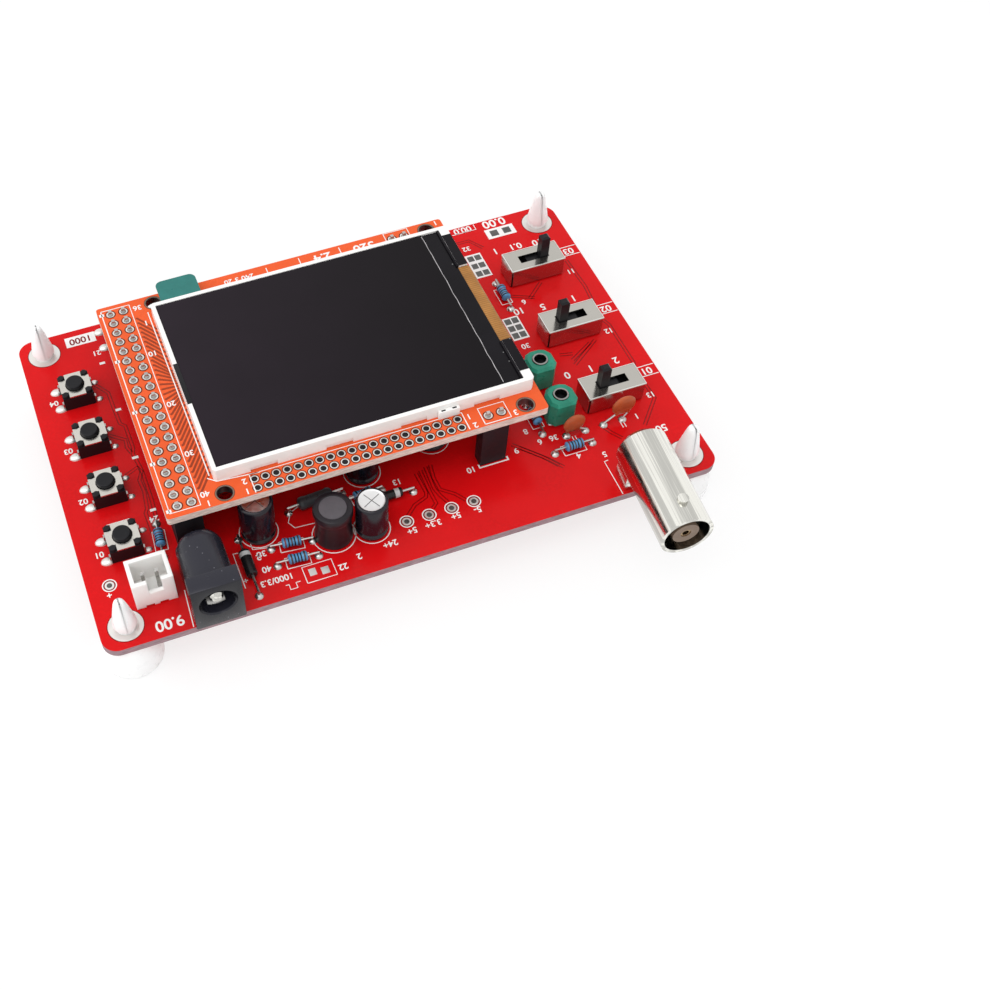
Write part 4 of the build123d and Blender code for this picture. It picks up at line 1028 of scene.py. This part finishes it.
class OSCILLOSCOPE_OT_jack(bpy.types.Operator):
    """Power jack housing: a square face, and a barrel that rounds off at its far end"""
    bl_idname = "oscilloscope.jack"
    bl_label = "Power jack"

    FACE = 3.4                # depth of the square face
    BARREL = 4.15
    AXIS = 6.5
    BORE, BORE_DEPTH = 3.2, 11.0
    SLOT_WIDTH, SLOT_DEPTH, SLOT_START = 3.26, 0.62, 2
    CORNER = 1.6              # at the far end of the barrel's base
    BASE_SETBACK = 0.3

    def execute(self, context):
        solid = whole("jack_housing")
        width, depth, height = solid.size
        x, near, axis = solid.middle.x, solid.low.y, solid.low.z + self.AXIS * MM
        reach = depth - self.FACE
        face = block((width, self.FACE, height), (x, near + self.FACE / 2 * MM, solid.middle.z), 0.25)
        barrel = turned((
            (self.BARREL - 0.5, -1.0), (self.BARREL, -0.5), (self.BARREL, reach - 2.6),
            (self.BARREL - 0.2, reach - 1.7), (self.BARREL - 0.7, reach - 0.85),
            (self.BARREL - 1.6, reach - 0.25), (1.2, reach),
        ), 64)
        settled(barrel, (x, near + self.FACE * MM, axis), (-pi / 2, 0, 0))
        run = reach - self.BASE_SETBACK
        base = block((2 * self.BARREL, run + 1, self.AXIS),
                     (x, near + (self.FACE + (run - 1) / 2) * MM, solid.low.z + self.AXIS / 2 * MM))
        edit(base)
        pick_edges(base, lambda a, b: abs(a.z - b.z) > MM and min(a.y, b.y) > near + depth / 2 * MM)
        bpy.ops.mesh.bevel(offset=self.CORNER * MM, segments=5, affect="EDGES")
        closed(base)
        merged(merged(face, barrel, "UNION"), base, "UNION")
        bore = turned(((self.BORE + 0.25, -0.1), (self.BORE + 0.2, 0.05), (self.BORE, 0.3),
                       (self.BORE, self.BORE_DEPTH)), 56)
        merged(face, settled(bore, (x, near, axis), (-pi / 2, 0, 0)), "DIFFERENCE")
        run = self.BORE_DEPTH - self.SLOT_START - 1
        slot = block((self.SLOT_WIDTH, run, 2 * self.SLOT_DEPTH),
                     (x, near + (self.SLOT_START + run / 2) * MM, axis - self.BORE * MM))
        smooth(merged(face, slot, "DIFFERENCE"))
        finished(face, "rounded_jack_housing", "jack", instead=["jack_housing"])
        return {"FINISHED"}


class OSCILLOSCOPE_OT_display_trim(bpy.types.Operator):
    """Painted highlights along the film's edge and the tape folds' lips, the tape folds, a black strip of
    painted shade in the rim's notch, a small connector at the near wall, and the pull tab
    """
    bl_idname = "oscilloscope.display_trim"
    bl_label = "Display trim"

    CORNER = 1.3 * MM
    WAVE = (0.0, 0.05, -0.03, 0.04, -0.07, 0.02, 0.08, -0.01, 0.03)     # wander of the film's edge, in mm
    WAVE_STEPS = 22
    # size of the black strip of painted shade in the rim's notch
    NOTCH_SHADE = (0.9, 10.2, 0.3)
    PLUG, PLUG_WAY = (4.0, 0.8, 1.9), (0.8, 0.34, 0.1)
    PLUG_PLACE = 11.5         # of the backlight connector, to the right of the board's middle
    LIP_GLINTS = (0.17 * MM, 0.14 * MM, 0.17 * MM)    # how far in the painted highlight on each fold's lip lies at its ends and middle
    FILM = 0.12

    def execute(self, context):
        tray, film, flex = whole("display_frame"), whole("display_upper_glass"), whole("display_flex")
        self.edge_glint(film)
        self.tape_folds(film, flex, whole("display_lower_glass").high.x, tray.high.z)
        # painted shade: a black strip lies in the rim's notch
        place = (tray.low.x + 0.47 * MM, tray.middle.y - 0.1 * MM, tray.high.z - 0.13 * MM)
        finished(block(self.NOTCH_SHADE, place, 0.05), "rim_notch_shade", "black")
        self.connector(tray.low.y)
        self.pull_tab(tray)
        return {"FINISHED"}

    def edge_glint(self, film):
        """A painted highlight: the wavy bright glint along the edge of the polariser film."""
        edge = []
        for k in range(self.WAVE_STEPS + 1):
            share = 0.01 + 0.98 * k / self.WAVE_STEPS
            wander = self.WAVE[k % len(self.WAVE)] - 0.05
            edge.append((film.high.x + wander * MM, film.low.y + (film.high.y - film.low.y) * share))
        line = strips("edge_glint", [edge], 0.13 * MM, film.high.z + COPPER_LIFT)
        finished(line, "polariser_edge_glint")

    def tape_folds(self, film, flex, inner, rim):
        """Tape that folds up over the rim on both sides of the flex, and painted highlights along the lips of
        its folds.
        """
        folds, lip_glints = [], []
        for start, end in ((film.low.y, flex.low.y), (flex.high.y, film.high.y)):
            middle = (start + end) / 2
            folds.append(block((0.5, (end - start) / MM, (rim - film.high.z) / MM + 0.3),
                               (inner - 0.08 * MM, middle, rim - 0.17 * MM), 0.06))
            lip_glints.append([(inner + aside, y) for aside, y in zip(self.LIP_GLINTS, (start, middle, end))])
        finished(folds, "tape_folds", "tape")
        # painted highlights along the lips of the folds
        finished(strips("edge_glint", lip_glints, 0.06 * MM, rim + INK_LIFT), "tape_lip_glints")

    def connector(self, wall):
        """A small white connector with two ways, their openings black for painted shade, at the near wall of
        the tray.
        """
        x = on_board(self.PLUG_PLACE, 0)[0]
        plug = block(self.PLUG, (x, wall - 0.41 * MM, PANEL_TOP + 0.97 * MM), 0.12)
        members = [coated(plug, "white")]
        # painted shade: a black mark in each of the two openings
        for side in (-1.05, 1.05):
            place = (x + side * MM, wall - 0.45 * MM, PANEL_TOP + 1.9 * MM)
            members.append(coated(block(self.PLUG_WAY, place, 0.03), "black"))
        finished(members, "backlight_connector")

    def pull_tab(self, tray):
        """The tab of the protective film, with two round corners, out of the far edge of the tray."""
        tab = whole("film_pull_tab")
        far, deep = tray.high.y, tab.high.y - tray.high.y
        piece = block((tab.size.x, deep / MM, self.FILM),
                      (tab.middle.x, far + deep / 2, tray.high.z - 0.2 * MM))
        edit(piece)
        pick_edges(piece, lambda a, b: abs(a.z - b.z) > 0.05 * MM and a.y > far + deep / 2)
        bpy.ops.mesh.bevel(offset=self.CORNER, segments=8, affect="EDGES")
        finished(closed(piece), "teal_pull_tab", "tab", instead=["film_pull_tab"])


# ---------------------------------------------------------------- ink, traces and pads
def along_right(heights):
    """Lines from the right-hand labels to the board's edge, at these heights."""
    return [((53.2, y), (58.3, y)) for y in heights]


class OSCILLOSCOPE_OT_printing(bpy.types.Operator):
    """Ink lines and plain numbers, trace edges, and plated rings on the main board"""
    bl_idname = "oscilloscope.printing"
    bl_label = "Main board printing"

    TRACE_HALF = 0.3 * MM
    TRACES = (
        ((-46.1, 22.5), (-44.0, 19.3), (-43.9, 15.4), (-43.7, 10.9), (-42.9, 10.0), (-42.8, 4.3),
         (-43.2, 2.8), (-42.6, -1.6), (-43.6, -3.7), (-43.4, -6.5), (-43.9, -10.6), (-44.4, -11.4),
         (-44.3, -16.2)),
        ((-46.4, 8.8), (-43.7, 6.6), (-43.9, 4.7), (-43.4, 3.2)),
        ((-45.8, -1.8), (-43.2, -0.6), (-42.6, -2.0), (-42.6, -9.0), (-42.9, -14.0)),
        ((0.3, -28.7), (2.3, -26.9), (4.9, -25.9), (5.3, -25.0), (5.1, -20.3)),
        ((5.1, -28.7), (6.1, -27.9), (6.0, -24.9), (6.1, -19.9)),
        ((8.2, -28.4), (7.4, -26.4), (7.0, -24.6), (7.3, -19.4)),
        ((11.5, -29.2), (10.1, -27.1), (7.9, -25.2), (7.8, -22.3), (8.3, -19.3)),
        ((54.7, 20.8), (55.1, 12.6), (54.6, 7.4)),
        ((54.4, 2.6), (54.9, 1.2), (54.9, -9.6), (54.6, -10.6)),
        ((54.4, -14.9), (54.6, -19.2), (49.8, -24.6)),
        ((25.4, -21.3), (29.5, -25.9), (31.3, -28.4)),
        ((24.4, -20.2), (28.6, -24.8), (30.6, -27.8)),
        ((47.1, 16.9), (43.1, 13.4)),
        ((50.5, -1.6), (44.0, -6.2)),
        ((49.3, -1.9), (44.1, -4.9)),
        ((41.8, -21.4), (43.1, -24.1), (44.4, -26.0)),
        ((39.6, 15.5), (44.2, 13.3)),
        ((42.3, -2.8), (44.8, -3.4)),
        ((-33.0, 34.5), (-20.0, 34.5), (-17.0, 32.0)),
        ((33.0, 33.5), (38.0, 33.5), (40.0, 30.5)),
        ((-15.0, 34.0), (-4.0, 34.0), (0.0, 31.0), (8.0, 31.0)),
        ((-30.0, -12.0), (-22.0, -12.0), (-19.0, -9.0), (-10.0, -9.0)),
        ((22.0, 10.0), (28.0, 10.0), (32.0, 6.0), (32.0, -2.0)),
    )
    LINES = (
        ((-42.2, -30.0), (-42.7, -37.8)),
        ((-32.0, -33.4), (-32.0, -25.7), (-29.3, -26.0), (-29.3, -26.7)),
        ((-31.9, -31.9), (-31.1, -31.9)),
        ((-31.5, -31.5), (-31.5, -32.3)),
        ((-13.6, -24.5), (-19.8, -24.1), (-20.6, -22.6), (-19.5, -20.6), (-16.8, -19.3)),
        ((-25.2, -35.3), (-24.6, -35.3), (-24.6, -36.4), (-23.3, -36.4), (-23.3, -35.3), (-22.5, -35.3)),
        ((-25.2, -21.2), (-28.4, -23.0), (-28.4, -26.0), (-25.4, -26.6)),
        ((39.6, -29.8), (38.8, -29.9), (38.7, -37.8)),
        ((35.4, 36.2), (40.8, 36.2), (40.8, 37.8)),
        *along_right((-13.7, -11.2, 4.2, 6.7, 22.0, 24.5)),
        outline(-21.4, -36.2, -15.9, -32.7),
    )
    THICK = ((16.7, -22.4), (16.7, -23.2), (22.4, -23.2), (22.4, -22.4))
    FILLS = (                 # left end, height of the middle, length and width
        (-49.0, 35.05, 6.1, 2.7),
        (42.2, 33.75, 6.4, 2.9),
        (35.3, 25.9, 3.5, 7.0),
        (35.4, 6.85, 3.4, 6.3),
    )
    BARS = ((-43.8, 27.3, 1.1), (-43.7, 14.4, 1.1), (-43.6, 1.8, 1.2), (-43.5, -11.2, 1.1))
    SMALL = (
        ("21", -43.7, 30.4), ("24", -43.3, -13.2), ("2", -27.9, -27.9), ("40", -27.3, -30.8),
        ("38", -27.2, -27.4), ("2", -11.0, -33.9), ("24+", -4.9, -33.3), ("13", 1.1, -20.8),
        ("5+", -0.2, -32.0), ("3.3+", 3.9, -31.9), ("5+", 8.4, -31.7), ("5-", 12.6, -31.8),
        ("+", -54.9, -26.4), ("10", 15.0, -23.0), ("8", 28.1, -18.2), ("22", -14.4, -35.0),
        ("36", 32.4, -21.4), ("4", 35.0, -26.9), ("1", 49.3, -22.1), ("6", 29.6, -21.4), ("9", 24.6, -21.8),
        ("32", 36.6, 31.4), ("30", 37.0, 1.8), ("6", 41.6, 13.0), ("5", 38.6, 12.3), ("5", 39.6, -28.3),
        ("1000/3.3", -26.3, -33.6), ("14", -22.9, 34.8), ("17", 10.5, 34.9), ("11", 54.2, 17.6),
        ("12", 54.1, -0.3), ("13", 54.2, -18.2),
    )
    LABELS = (
        ("00.0", 38.0, 37.0), ("03", 56.2, 23.2), ("02", 56.2, 5.4), ("01", 56.2, -12.5),
        ("1", 42.0, 28.6), ("0.1", 46.5, 28.5), ("10", 51.3, 28.0), ("10", 39.6, 11.0), ("5", 44.6, 10.4),
        ("1", 51.4, 10.4), ("0", 41.4, -8.1), ("1", 46.4, -8.1), ("2", 51.9, -7.9), ("50", 52.3, -26.4),
    )
    BIG = (("9.00", -46.4, -35.6), ("0.00", 45.1, 36.8))
    DARK = (("1000", -45.95, 35.05),)           # on a white fill
    SMALL_SIZE, LABEL_SIZE, BIG_SIZE = 1.75, 2.3, 3.0
    LEFT_COLUMN = -45         # buttons to the left of this have numbers
    NUMBER_SHIFT = (-4.9, -0.3)
    TEST_POINTS = ((-0.4, -29.85), (3.96, -29.85), (8.32, -29.85), (12.68, -29.85), (-54.4, -24.5))
    POINT_HOLE, POINT_PAD, POINT_GAP, POINT_RING = 0.42, 0.86, 1.12, 1.34
    WELL = ((0.5, 0.045), (0.42, 0.03), (0.3, -0.5), (0.1, -0.5))
    TIN_PADS = ((-20.5, -34.2, 1.3), (-18.3, -34.6, 1.4))
    CHIP_PADS = tuple((x, y, 1.3) for x in (35.65, 37.2) for y in (23.6, 25.9, 28.2, 4.9, 6.9, 8.9))
    SQUARE_PADS = tuple(((x, 32.9), (x, 34.6)) for x in (44.0, 46.8))
    BRACKET = ((-2.2, 4.9), (-2.2, 5.6), (2.2, 5.6), (2.2, 4.9))       # from a button's middle
    RESISTOR_BOX = outline(-2.2 * MM, -1.15 * MM, 2.2 * MM, 1.15 * MM)
    CIRCLE_GAP = 0.35         # between an upright can and the circle round it

    def execute(self, context):
        boards = context.scene.scope_boards
        ink, copper = BOARD_TOP + INK_LIFT, BOARD_TOP + COPPER_LIFT
        paths = [line for trace in board_paths(self.TRACES) for line in beside(trace, self.TRACE_HALF)]
        finished(strips("trace", paths, boards.trace_width, copper), "trace_edges")

        lines, numbers = self.button_marks()
        points = [on_board(*point) for point in self.TEST_POINTS]
        finished([
            *(bars("ink", [(x, y, run)], width, ink) for x, y, run, width in self.FILLS),
            strips("ink", board_paths(self.LINES) + lines + self.part_marks(), boards.ink_width, ink),
            labels("ink", [*self.SMALL, *numbers], self.SMALL_SIZE, ink),
            strips("ink", board_paths([self.THICK]), 0.4 * MM, ink),
            labels("trace", self.DARK, self.LABEL_SIZE, ink + COPPER_LIFT),
            bars("ink", self.BARS, 0.6, ink),
            labels("ink", self.LABELS, self.LABEL_SIZE, ink),
            labels("ink", self.BIG, self.BIG_SIZE, ink),
            coated(spread(ring(self.POINT_GAP, self.POINT_RING, 28), points, ink), "ink"),
        ], "white_marks")

        finished([
            spread(ring(self.POINT_HOLE, self.POINT_PAD, 28, 0.03), points, BOARD_TOP),
            bars("plate", self.TIN_PADS, 1.5, BOARD_TOP + PAD_LIFT),
        ], "bare_pads", "plate")
        finished(spread(turned(self.WELL, 20), points, BOARD_TOP),
                 "test_point_wells", "dull_pad")
        finished(spread(ring(self.POINT_PAD, self.POINT_GAP, 28), points, copper),
                 "test_point_gaps", "trace")
        finished([
            strips("dull_pad", board_paths(self.SQUARE_PADS), 1.7 * MM, ink + COPPER_LIFT),
            bars("dull_pad", self.CHIP_PADS, 1.5, ink + COPPER_LIFT),
        ], "bare_chip_pads", "dull_pad")
        return {"FINISHED"}

    def button_marks(self):
        """A bracket above every push button, and numbers beside those in the left column."""
        lines, numbers = [], []
        places = sorted((solid.middle for solid in solids("button_bases")), key=lambda place: place.y)
        for number, place in enumerate(places, start=1):
            x, y = (place.x - BOARD_MIDDLE.x) / MM, (place.y - BOARD_MIDDLE.y) / MM
            if x < self.LEFT_COLUMN:
                numbers.append((f"0{number}", x + self.NUMBER_SHIFT[0], y + self.NUMBER_SHIFT[1]))
            lines.append([(x + aside, y + up) for aside, up in self.BRACKET])
        return board_paths(lines), numbers

    def part_marks(self):
        """Circles round the upright cans, boxes round the resistors, and bars between the discs' leads."""
        lines = []
        for solid in solids("electrolytic_capacitors") + solids("drum_inductor"):
            lines.append(circle(*solid.middle.xy, (solid.size.x / 2 + self.CIRCLE_GAP) * MM))
        for solid in solids("resistors"):
            turn = Matrix.Rotation(solid.angle, 2)
            lines.append([solid.middle.xy + turn @ Vector(corner) for corner in self.RESISTOR_BOX])
        for solid in solids("ceramic_discs"):
            x, y = solid.middle.xy
            lines += [[(x + step * MM, y - 1.9 * MM), (x + step * MM, y - 0.5 * MM)] for step in (-0.3, 0.3)]
        return lines


class OSCILLOSCOPE_OT_panel_printing(bpy.types.Operator):
    """Ink, slanting traces, and plated rings and holes on the display board, with black funnels of painted
    shade in the small holes
    """
    bl_idname = "oscilloscope.panel_printing"
    bl_label = "Display board printing"

    LINES = (
        ((-41.1, 28.2), (-41.1, -22.5), (-35.6, -22.5), (-35.5, 28.2), (-41.1, 28.2)),
        ((-32.6, 25.0), (-32.5, -17.0)),
        ((-33.0, -17.4), (-31.6, -18.6), (-24.0, -19.3)),
        ((-25.9, -23.3), (-25.9, -19.2), (13.9, -19.2), (13.9, -23.3)),
        outline(16.9, -23.2, 21.9, -19.4),
        outline(16.9, 25.2, 21.9, 29.0),
        ((-20.0, 25.0), (-7.8, 25.0), (-7.8, 28.3)),
        ((-1.0, 28.6), (-1.0, 25.4), (7.4, 25.4), (7.4, 28.6)),
    )
    BARS = tuple((-41.6, y, 0.9) for y in (27.2, 14.6, 1.5, -11.1, -22.0))
    LABELS = (
        ("36", -34.2, 26.9), ("1", -33.6, 22.4), ("10", -34.4, 14.4), ("20", -34.4, 1.3),
        ("30", -34.4, -10.9), ("40", -34.3, -20.5), ("1", -34.2, -22.6), ("2", -27.1, -20.3),
        ("1", -27.2, -22.5), ("1", 14.8, -20.5), ("2", 15.2, -22.7), ("3", 23.0, -22.5),
        ("240 3 20", -13.6, 27.3), ("1", 27.8, 28.3),
    )
    FAR_LABELS = (("2.4", 3.6, 27.2), ("320", 12.2, 27.0))
    STRIPE_PITCH = 1.27
    STRIPE_ROWS = 36
    STRIPE_TOP = 24.2
    STRIPE_TURN = 4.8         # above this height the stripes fall to the right, below it they rise
    STRIPE_DROP = 3.9
    ARRAY_X, ARRAY_Y, ARRAY_PITCH, ARRAY_COLUMNS = -6.3, -22.4, 2.0, 20
    RING_HOLE, RING, RING_GAP = 0.54, 0.76, 0.95
    MOUNTS = tuple((x, y) for x in (-31.0, 25.4) for y in (-21.5, 27.1))
    MOUNT_HOLE, MOUNT_RING, MOUNT_GAP = 1.5, 1.68, 1.78
    LINING = (1.42, 1.49)
    # a black funnel of painted shade in each small plated hole
    BARREL = ((0.56, 0.02), (0.54, 0.02), (0.29, -0.05), (0.29, -0.4), (0.05, -0.4))

    def stripe(self, row):
        """One slanting trace between the header and the display, in mm on the board."""
        start = self.STRIPE_TOP - row * self.STRIPE_PITCH
        away = start - self.STRIPE_TURN
        reach = max(abs(away) - self.STRIPE_DROP, 0.5 * abs(away))
        end = self.STRIPE_TURN + (reach if away > 0 else -reach)
        slope = (start - end) / 2.7
        return ((-35.2, start), (-34.9, start - 0.05 * slope), (-32.2, end), (-31.9, end))

    def execute(self, context):
        boards = context.scene.scope_boards
        ink, copper = PANEL_TOP + INK_LIFT, PANEL_TOP + COPPER_LIFT
        finished([
            strips("ink", board_paths(self.LINES), boards.ink_width * 1.15, ink),
            labels("ink", self.LABELS, 1.7, ink),
            bars("ink", self.BARS, 0.7, ink),
            labels("ink", self.FAR_LABELS, 3.0, ink),
        ], "panel_white_marks")
        stripes = board_paths(self.stripe(row) for row in range(self.STRIPE_ROWS))
        finished(strips("panel_trace", stripes, 0.46 * MM, copper), "panel_stripes")

        left = self.ARRAY_X - (self.ARRAY_COLUMNS - 1) / 2 * self.ARRAY_PITCH
        array = [
            on_board(left + column * self.ARRAY_PITCH, self.ARRAY_Y + row * self.ARRAY_PITCH)
            for column in range(self.ARRAY_COLUMNS) for row in (0, 1)
        ]
        holes = [on_board(*mount) for mount in self.MOUNTS]
        finished(spread(ring(self.RING_HOLE, self.RING, 18, 0.02), array, PANEL_TOP),
                 "panel_plated_rings", "plate")
        finished(spread(ring(self.MOUNT_HOLE, self.MOUNT_RING, 36, 0.02), holes, PANEL_TOP),
                 "panel_hole_rings", "beige")
        finished([
            spread(ring(self.RING, self.RING_GAP, 18), array, copper),
            spread(ring(self.MOUNT_RING - 0.02, self.MOUNT_GAP, 36), holes, copper),
        ], "panel_ring_gaps", "rim")
        # painted shade in the small holes
        finished(spread(turned(self.BARREL, 16), array, PANEL_TOP),
                 "panel_hole_shade", "black")
        depth = (PANEL_HIGH.z - PANEL_LOW.z) / MM
        finished(spread(ring(*self.LINING, 36, depth), holes, PANEL_LOW.z),
                 "panel_hole_linings", "dull_pad")
        return {"FINISHED"}


# ---------------------------------------------------------------- switches and trimmers
class OSCILLOSCOPE_OT_buttons(bpy.types.Operator):
    """Round rubbed plungers and the riveted studs of the push buttons"""
    bl_idname = "oscilloscope.buttons"
    bl_label = "Push buttons"

    STUD = ((0.62, -0.35), (0.64, 0.2), (0.58, 0.29), (0.4, 0.33), (0.1, 0.34))
    STUD_PLACE = 2.25 * MM

    def execute(self, context):
        for number in range(1, 6):
            solid = whole(f"button_plunger_{number}")
            height = solid.size.z
            plunger = turned((
                (2.0, 0), (2.0, 0.45), (1.72, 0.5), (1.7, height - 0.3), (1.66, height - 0.14),
                (1.57, height - 0.04), (1.45, height), (1.3, height - 0.01), (0.3, height - 0.02),
            ), 36)
            finished(stood(plunger, solid), f"round_plunger_{number}", "black",
                     f"button_{number}", [f"button_plunger_{number}"])
        studs = [
            (solid.middle.x + x, solid.middle.y + y) for solid in solids("button_covers")
            for x in (-self.STUD_PLACE, self.STUD_PLACE) for y in (-self.STUD_PLACE, self.STUD_PLACE)
        ]
        finished(spread(turned(self.STUD, 20), studs, whole("button_covers").high.z),
                 "button_rivets", "black")
        return {"FINISHED"}


class OSCILLOSCOPE_OT_trimmers(bpy.types.Operator):
    """Round metal rotors of the trimmer capacitors, each a tube whose bore walls take painted shade, with a
    black strip of painted shade for the driver slot in its floor
    """
    bl_idname = "oscilloscope.trimmers"
    bl_label = "Trimmers"

    BORE, BORE_DEPTH = 1.15, 1.5

    def execute(self, context):
        for number in (1, 2):
            solid = whole(f"trimmer_rotor_{number}")
            height = solid.size.z
            floor = height - self.BORE_DEPTH
            tube = turned((
                (1.3, 0), (1.5, 0.1), (1.5, height - 0.06), (1.44, height), (1.2, height),
                (self.BORE, height - 0.05), (self.BORE, floor), (0.2, floor),
            ), 40)
            # painted shade on the walls of the bore
            paint(tube, ("pin", "shadow"), lambda face: int(
                from_axis(face) < self.BORE + 0.01 and face.center.z < (height - 0.2) * MM))
            # painted shade: a thin black strip for the driver slot
            slot = coated(block((0.5, 2.0, 0.04), (0, 0, (floor + 0.01) * MM)), "black")
            finished(stood(joined(tube, slot), solid), f"round_rotor_{number}", None,
                     f"trimmer_{number}", [f"trimmer_rotor_{number}"])
        return {"FINISHED"}


class OSCILLOSCOPE_OT_slides(bpy.types.Operator):
    """Painted highlights: bright strips along the folded rims round the steel cans of the slide switches"""
    bl_idname = "oscilloscope.slides"
    bl_label = "Slide switches"

    # width of the painted highlight along each can's edge
    RIM = 0.2 * MM

    def execute(self, context):
        cans = solids("slide_cans")
        paths = [outline(*can.low.xy, *can.high.xy, -self.RIM / 2) for can in cans]
        # painted highlight along each can's top edge
        rims = strips("plate", paths, self.RIM, cans[0].high.z + INK_LIFT)
        finished(rims, "slide_can_edge_highlights")
        return {"FINISHED"}


# ---------------------------------------------------------------- studio
class OSCILLOSCOPE_OT_studio(bpy.types.Operator):
    """Camera, soft lamps, world and the pale floor"""
    bl_idname = "oscilloscope.studio"
    bl_label = "Studio"

    LAMPS = (                 # name, place, size and power
        ("side_lamp", (-0.60, 0.05, 0.45), 0.50, 1.1),
        ("top_lamp", (-0.22, -0.16, 0.70), 0.50, 1.2),
    )
    WHITE = (1, 1, 1)
    FLOOR_SHARE = 0.75        # how white the floor looks to the camera

    def execute(self, context):
        studio = context.scene.scope_studio
        lens = bpy.data.cameras.new("camera")
        eye = self.place(context, "camera", lens, studio.camera_place, studio.camera_turn)
        lens.lens = studio.lens
        lens.shift_x, lens.shift_y = studio.camera_shift
        lens.clip_start = 0.01
        context.scene.camera = eye
        context.scene.view_settings.view_transform = "Standard"

        only()
        bpy.ops.mesh.primitive_plane_add(size=8, location=(0, 0, 0))
        floor = bpy.context.object
        floor.name = "floor"
        made = Finish("pale_floor", Roughness=0.6, Specular_IOR_Level=0.2)
        made.colour(made.mix(made.noise(40, 2), tinted(studio.floor, 0.995), studio.floor))
        self.whiten(made.tree, "Principled BSDF", "Material Output", "Emission", self.FLOOR_SHARE)
        floor.data.materials.append(made.material)

        world = bpy.data.worlds.new("studio")
        world.use_nodes = True
        context.scene.world = world
        even = world.node_tree.nodes["Background"].inputs
        even["Color"].default_value = (*self.WHITE, 1)
        even["Strength"].default_value = studio.sky
        self.whiten(world.node_tree, "Background", "World Output", "Background", 1.0)

        for name, place, size, power in self.LAMPS:
            light = bpy.data.lights.new(name, "AREA")
            light.size = size
            light.energy = power * studio.lamps
            turn = (Vector(place) - BOARD_MIDDLE).to_track_quat("Z", "Y").to_euler()
            self.place(context, name, light, place, turn)
        return {"FINISHED"}

    def place(self, context, name, data, location, turn):
        """A camera or a lamp at a place, turned."""
        thing = bpy.data.objects.new(name, data)
        context.collection.objects.link(thing)
        thing.location = location
        thing.rotation_euler = turn
        return thing

    def whiten(self, tree, plain, output, kind, share):
        """Shows plain white, in a share, to what looks straight at it or by way of gloss and glass."""
        path = wired(tree, "LightPath", {})
        seen = path["Is Camera Ray"]
        for name in ("Is Glossy Ray", "Is Transmission Ray"):
            seen = wired(tree, "Math", {0: seen, 1: path[name]}, operation="MAXIMUM")[0]
        part = wired(tree, "Math", {0: seen, 1: share}, operation="MULTIPLY")[0]
        white = wired(tree, kind, {"Color": self.WHITE, "Strength": 1.0})[0]
        both = wired(tree, "MixShader", {0: part, 1: tree.nodes[plain].outputs[0], 2: white})[0]
        tree.links.new(both, tree.nodes[output].inputs["Surface"])


STEPS = (
    OSCILLOSCOPE_OT_finishes,
    OSCILLOSCOPE_OT_standoffs,
    OSCILLOSCOPE_OT_capacitors,
    OSCILLOSCOPE_OT_inductor,
    OSCILLOSCOPE_OT_discs,
    OSCILLOSCOPE_OT_resistors,
    OSCILLOSCOPE_OT_diodes,
    OSCILLOSCOPE_OT_solder,
    OSCILLOSCOPE_OT_legs,
    OSCILLOSCOPE_OT_jack,
    OSCILLOSCOPE_OT_display_trim,
    OSCILLOSCOPE_OT_printing,
    OSCILLOSCOPE_OT_panel_printing,
    OSCILLOSCOPE_OT_buttons,
    OSCILLOSCOPE_OT_trimmers,
    OSCILLOSCOPE_OT_slides,
    OSCILLOSCOPE_OT_studio,
)
GROUPS = {
    "scope_boards": BoardSettings,
    "scope_parts": PartSettings,
    "scope_display": DisplaySettings,
    "scope_studio": StudioSettings,
}


class OSCILLOSCOPE_PT_panel(bpy.types.Panel):
    """Lists the steps that dress the oscilloscope, and their settings"""
    bl_label = "Oscilloscope"
    bl_idname = "OSCILLOSCOPE_PT_panel"
    bl_space_type = "VIEW_3D"
    bl_region_type = "UI"
    bl_category = "Oscilloscope"

    def draw(self, context):
        for step in STEPS:
            self.layout.operator(step.bl_idname)
        for group, settings in GROUPS.items():
            box = self.layout.box()
            for name in settings.__annotations__:
                box.prop(getattr(context.scene, group), name)


def register():
    for kind in (*GROUPS.values(), *STEPS, OSCILLOSCOPE_PT_panel):
        bpy.utils.register_class(kind)
    for group, settings in GROUPS.items():
        setattr(bpy.types.Scene, group, bpy.props.PointerProperty(type=settings))


def unregister():
    for group in GROUPS:
        delattr(bpy.types.Scene, group)
    for kind in reversed((*GROUPS.values(), *STEPS, OSCILLOSCOPE_PT_panel)):
        bpy.utils.unregister_class(kind)


def main():
    """Dresses the oscilloscope step by step."""
    register()
    for step in STEPS:
        group, name = step.bl_idname.split(".")
        getattr(getattr(bpy.ops, group), name)()


if __name__ == "__main__":
    main()
